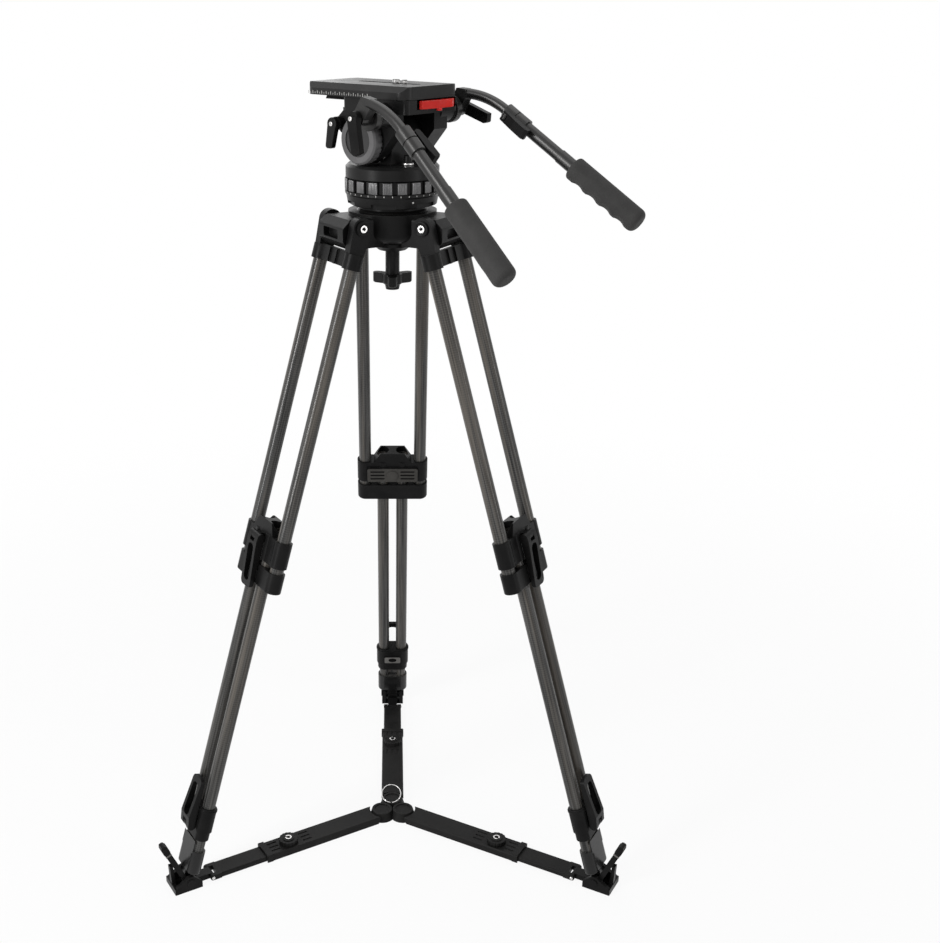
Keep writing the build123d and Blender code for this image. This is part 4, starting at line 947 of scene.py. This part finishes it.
for side in SIDES:
    seat(rosette_teeth(f"{side}_platform_teeth", PLATFORM_TEETH_R, PLATFORM_TEETH_DEEP),
         rosettes[side] @ shift(0, -PLATFORM_TEETH_DEEP, 0) @ turned(-90, "X"), "tilt_platform",
         satin_shell)
    seat(rosette_teeth(f"{side}_arm_teeth", ARM_TEETH_R, ARM_TEETH_DEEP),
         rosettes[side] @ shift(0, ARM_TEETH_FROM, 0) @ turned(-90, "X"), f"{side}_handle_arm",
         bar_finish[side])

# Ribbed pads on the lugs of the pan drag ring
LUGS = 20
LUG_FACE_R = 65.3
LUG_Z = BOWL_Z + 28.0
PAD_RIBS = 5
PAD_RIB_STEP = 2.3


def lug_pad():
    """One pad with upright ribs, facing out along -Y."""
    ribs = []
    for rib in range(PAD_RIBS):
        along = PAD_RIB_STEP * rib
        corners = (-5.6 + along, -0.9, 1.2), (-3.7 + along, 0.6, 15.0)
        ribs.append(soften(block("rib", *corners), 0.35))
    back = soften(block("pad_back", (-6.2, -0.3, 0.6), (6.2, 0.6, 15.6)), 0.25, 1)
    return joined("lug_pad", ribs + [back])


pad = lug_pad()
pads = [moved(copy_of(pad, "pad"), turned(360 / LUGS * lug + 90, "Z") @ shift(0, -LUG_FACE_R, 0))
        for lug in range(LUGS)]
seat(joined("ring_pads", pads), head @ shift(0, 0, LUG_Z), "pan_drag_ring", satin_lug)
bpy.data.objects.remove(pad)

# Silver collar at the foot of the pan brake knob
BRAKE_KNOB_FOOT = (37.0, -10.0, BOWL_Z + 64.3)
collar = disc("brake_collar", 8.0, 0, 2.6, 40)
edit(collar, "FACE")
pick_faces(collar, faces_up)
bpy.ops.mesh.inset(thickness=1.2 * MM, depth=0.5 * MM)
leave()
soften(collar, 0.3)
seat(collar, head @ shift(*BRAKE_KNOB_FOOT), "pan_brake_knob", bright_steel)

# Round button under the red lever
LEVER_UNDERSIDE = (72.0, 12.0, TILT_Z + 42.0)
button = disc("lock_button", 4.6, -3.6, 0, 32)
bevel_edges(button, lambda a, b: max(a.z, b.z) < -3, 1.2, 3)
seat(button, head @ shift(*LEVER_UNDERSIDE), "plate_lock_lever", red_enamel)

# Wire ring that leans over the back lobe of the hub
WIRE_RING_R = 15.8
WIRE_R = 0.75
WIRE_GAP = 1.2
WIRE_LEAN = 31
HUB_LOBE = (-2.0, 20.0, 22.3)


def wire_ring():
    """A split wire ring with two cut ends."""
    begin()
    bpy.ops.mesh.primitive_torus_add(major_radius=WIRE_RING_R * MM, minor_radius=WIRE_R * MM,
                                     major_segments=72, minor_segments=10)
    ring = named("hub_wire_ring")
    edit(ring, "FACE")
    pick_faces(ring, lambda c, n: c.y < 0 and abs(c.x) < WIRE_GAP)
    bpy.ops.mesh.delete(type="FACE")
    bpy.ops.mesh.select_all(action="SELECT")
    bpy.ops.mesh.fill_holes(sides=16)
    leave()
    return ring


seat(wire_ring(), shift(*HUB_LOBE) @ turned(WIRE_LEAN, "X"), "spreader_hub", bright_steel)

# Silver ends of the pins that link arm and shoe
LINK_IN = 37.5
LINK_Z = 5.45
LINK_HALF = 16.4
pin_end = disc("pin_end", 2.6, 0, 0.9, 24)
bevel_edges(pin_end, lambda a, b: min(a.z, b.z) > 0.8, 0.5, 3)
links = {leg: spoke @ shift(0, FOOT_R - LINK_IN, LINK_Z) for leg, spoke in spokes.items()}
seat_copies(pin_end, [
    (f"{leg}_link_pin_{end}", link @ turned(spin, "Y") @ shift(0, 0, LINK_HALF), f"{leg}_shoe")
    for leg, link in links.items() for end, spin in PIN_ENDS.items()], bright_steel)

# Retaining ring and screw in the middle of each spreader knob
KNOB_R = 192.0
KNOB_TOP = 20.2
SLOT_TURN = 60


def knob_ring():
    """An open spring ring, a ring with a slot cut through it."""
    ring = disc("knob_ring", 5.2, 0, 1.0, 40)
    cut(ring, disc("ring_hole", 3.4, -1, 3, 40))
    cut(ring, block("ring_slot", (0, -1.3, -1), (8, 1.3, 3)))
    return soften(ring, 0.2)


knobs = {leg: spoke @ shift(0, KNOB_R, KNOB_TOP) for leg, spoke in spokes.items()}
seat_copies(knob_ring(), [
    (f"{leg}_knob_ring", knob @ turned(SLOT_TURN, "Z"), f"{leg}_spreader_knob")
    for leg, knob in knobs.items()], bright_steel)
seat_copies(screw_head("knob_screw", 2.3, 0.9), [
    (f"{leg}_knob_screw", knob, f"{leg}_spreader_knob")
    for leg, knob in knobs.items()], black_casting)

# Ribbed sleeve and pale band near the tip of each foot latch
LATCH_LEAN = 24.0
LATCH_HALF = 7.3
LATCH_BACK = 9.5
SLEEVE_FROM, SLEEVE_TO = 62.0, 73.6
SLEEVE_RIBS = 4
SLEEVE_RIB_STEP = 2.5
BAND_FROM, BAND_TO = 56.5, 59.7


def latch_cap():
    """A rounded sleeve with ribs, just below the tip of the latch."""
    corners = (-LATCH_HALF, -0.3, SLEEVE_FROM), (LATCH_HALF, LATCH_BACK, SLEEVE_TO)
    sleeve = block("latch_cap", *corners)
    edit(sleeve, "FACE")
    pick_faces(sleeve, lambda c, n: abs(n.y) > 0.9)
    bpy.ops.mesh.inset(thickness=1.4 * MM, depth=-0.5 * MM, use_individual=True)
    leave()
    soften(sleeve, 0.8, 3)
    ribs = []
    for rib in range(SLEEVE_RIBS):
        low = SLEEVE_FROM + 1.3 + SLEEVE_RIB_STEP * rib
        ribs.append(soften(block("rib", (-7.8, -0.7, low), (7.8, 9.9, low + 1.3)), 0.4))
    return joined("latch_cap", [sleeve] + ribs)


def latch_band():
    """A thin ring round the latch below its sleeve."""
    corners = (-LATCH_HALF, -0.1, BAND_FROM), (LATCH_HALF, LATCH_BACK, BAND_TO)
    return soften(block("latch_band", *corners), 0.6, 3)


latches = {leg: foot @ turned(-LATCH_LEAN, "X") for leg, foot in feet.items()}
for pattern, name, finish, slot in ((latch_cap(), "latch_cap", black_plastic, "rubber"),
                                    (latch_band(), "latch_band", label_grey, "plastic")):
    seat_copies(pattern, [(f"{leg}_{name}", latch, f"{leg}_foot_latch")
                          for leg, latch in latches.items()], finish)

# Pale bare plate on the inner face of each lower clamp
CLAMP_FACE = -15.3
CLAMP_Z = -912.0
WINDOW_R = 5.2
WINDOW_STRETCH = 1.45


def clamp_plate():
    """A rounded plate with an oval window, facing -Y."""
    plate = block("clamp_plate", (-14.6, -0.5, -7.2), (14.6, 0.7, 7.2))
    bevel_edges(plate, lambda a, b: abs(a.y - b.y) > 1, 2.4, 4)
    window = disc("window", WINDOW_R, -3, 3, 40)
    moved(window, Matrix.Diagonal((WINDOW_STRETCH, 1, 1, 1)))
    cut(plate, moved(window, turned(90, "X")))
    return soften(plate, 0.2, 1)


seat_copies(clamp_plate(), [
    (f"{leg}_clamp_plate", place @ shift(0, CLAMP_FACE, CLAMP_Z), f"{leg}_mid")
    for leg, place in legs.items()], label_grey)

# Rubber grips with finger waves
GRIP_FROM = 128.0
GRIP_END = 248.0
GRIP_R = 16.5
FINGERS = 4
FIRST_FINGER = GRIP_FROM + 22
FINGER_STEP = 25
FINGER_R = 22.0
FINGER_OUT = GRIP_R + 19.2
FINGER_LEANS = (-46, -16, 14)
FLAT_OUT = GRIP_R - 0.9
FLAT_FROM = GRIP_FROM + 16


def rubber_grip():
    """A round grip with a rounded end, waved underneath and on one side, flat at its sides.

    X points down.
    """
    grip = disc("rubber_grip", GRIP_R - 0.2, GRIP_FROM, GRIP_END, 64)
    bevel_edges(grip, lambda a, b: min(a.z, b.z) > GRIP_END - 1, 8.0, 5)
    bevel_edges(grip, lambda a, b: max(a.z, b.z) < GRIP_FROM + 1, 3.0, 4)
    for wave in range(FINGERS):
        hollow = shift(FINGER_OUT, 0, FIRST_FINGER + FINGER_STEP * wave) @ turned(90, "X")
        for lean in FINGER_LEANS:
            finger = disc("finger", FINGER_R, -40, 40, 64)
            cut(grip, moved(finger, turned(lean, "Z") @ hollow))
    for spin in (180, 0):
        flat = block("flat", (-9, 0, 0), (9, 10, 150))
        side_face = shift(0, 0, FLAT_FROM) @ turned(spin, "Z") @ shift(0, FLAT_OUT, 0)
        cut(grip, moved(flat, side_face))
    skin = grip.modifiers.new("skin", "REMESH")
    skin.mode = "VOXEL"
    skin.voxel_size = 0.9 * MM
    rub = grip.modifiers.new("rub", "SMOOTH")
    rub.factor = 0.5
    rub.iterations = 5
    apply_modifiers(grip)
    return grip


grip = rubber_grip()
for side in SIDES:
    hold = copy_of(grip, f"{side}_rubber_grip")
    seat(hold, rosettes[side] @ bar, f"{side}_bar", grip_rubber)
    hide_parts(f"{side}_pan_bar_grip")
bpy.data.objects.remove(grip)
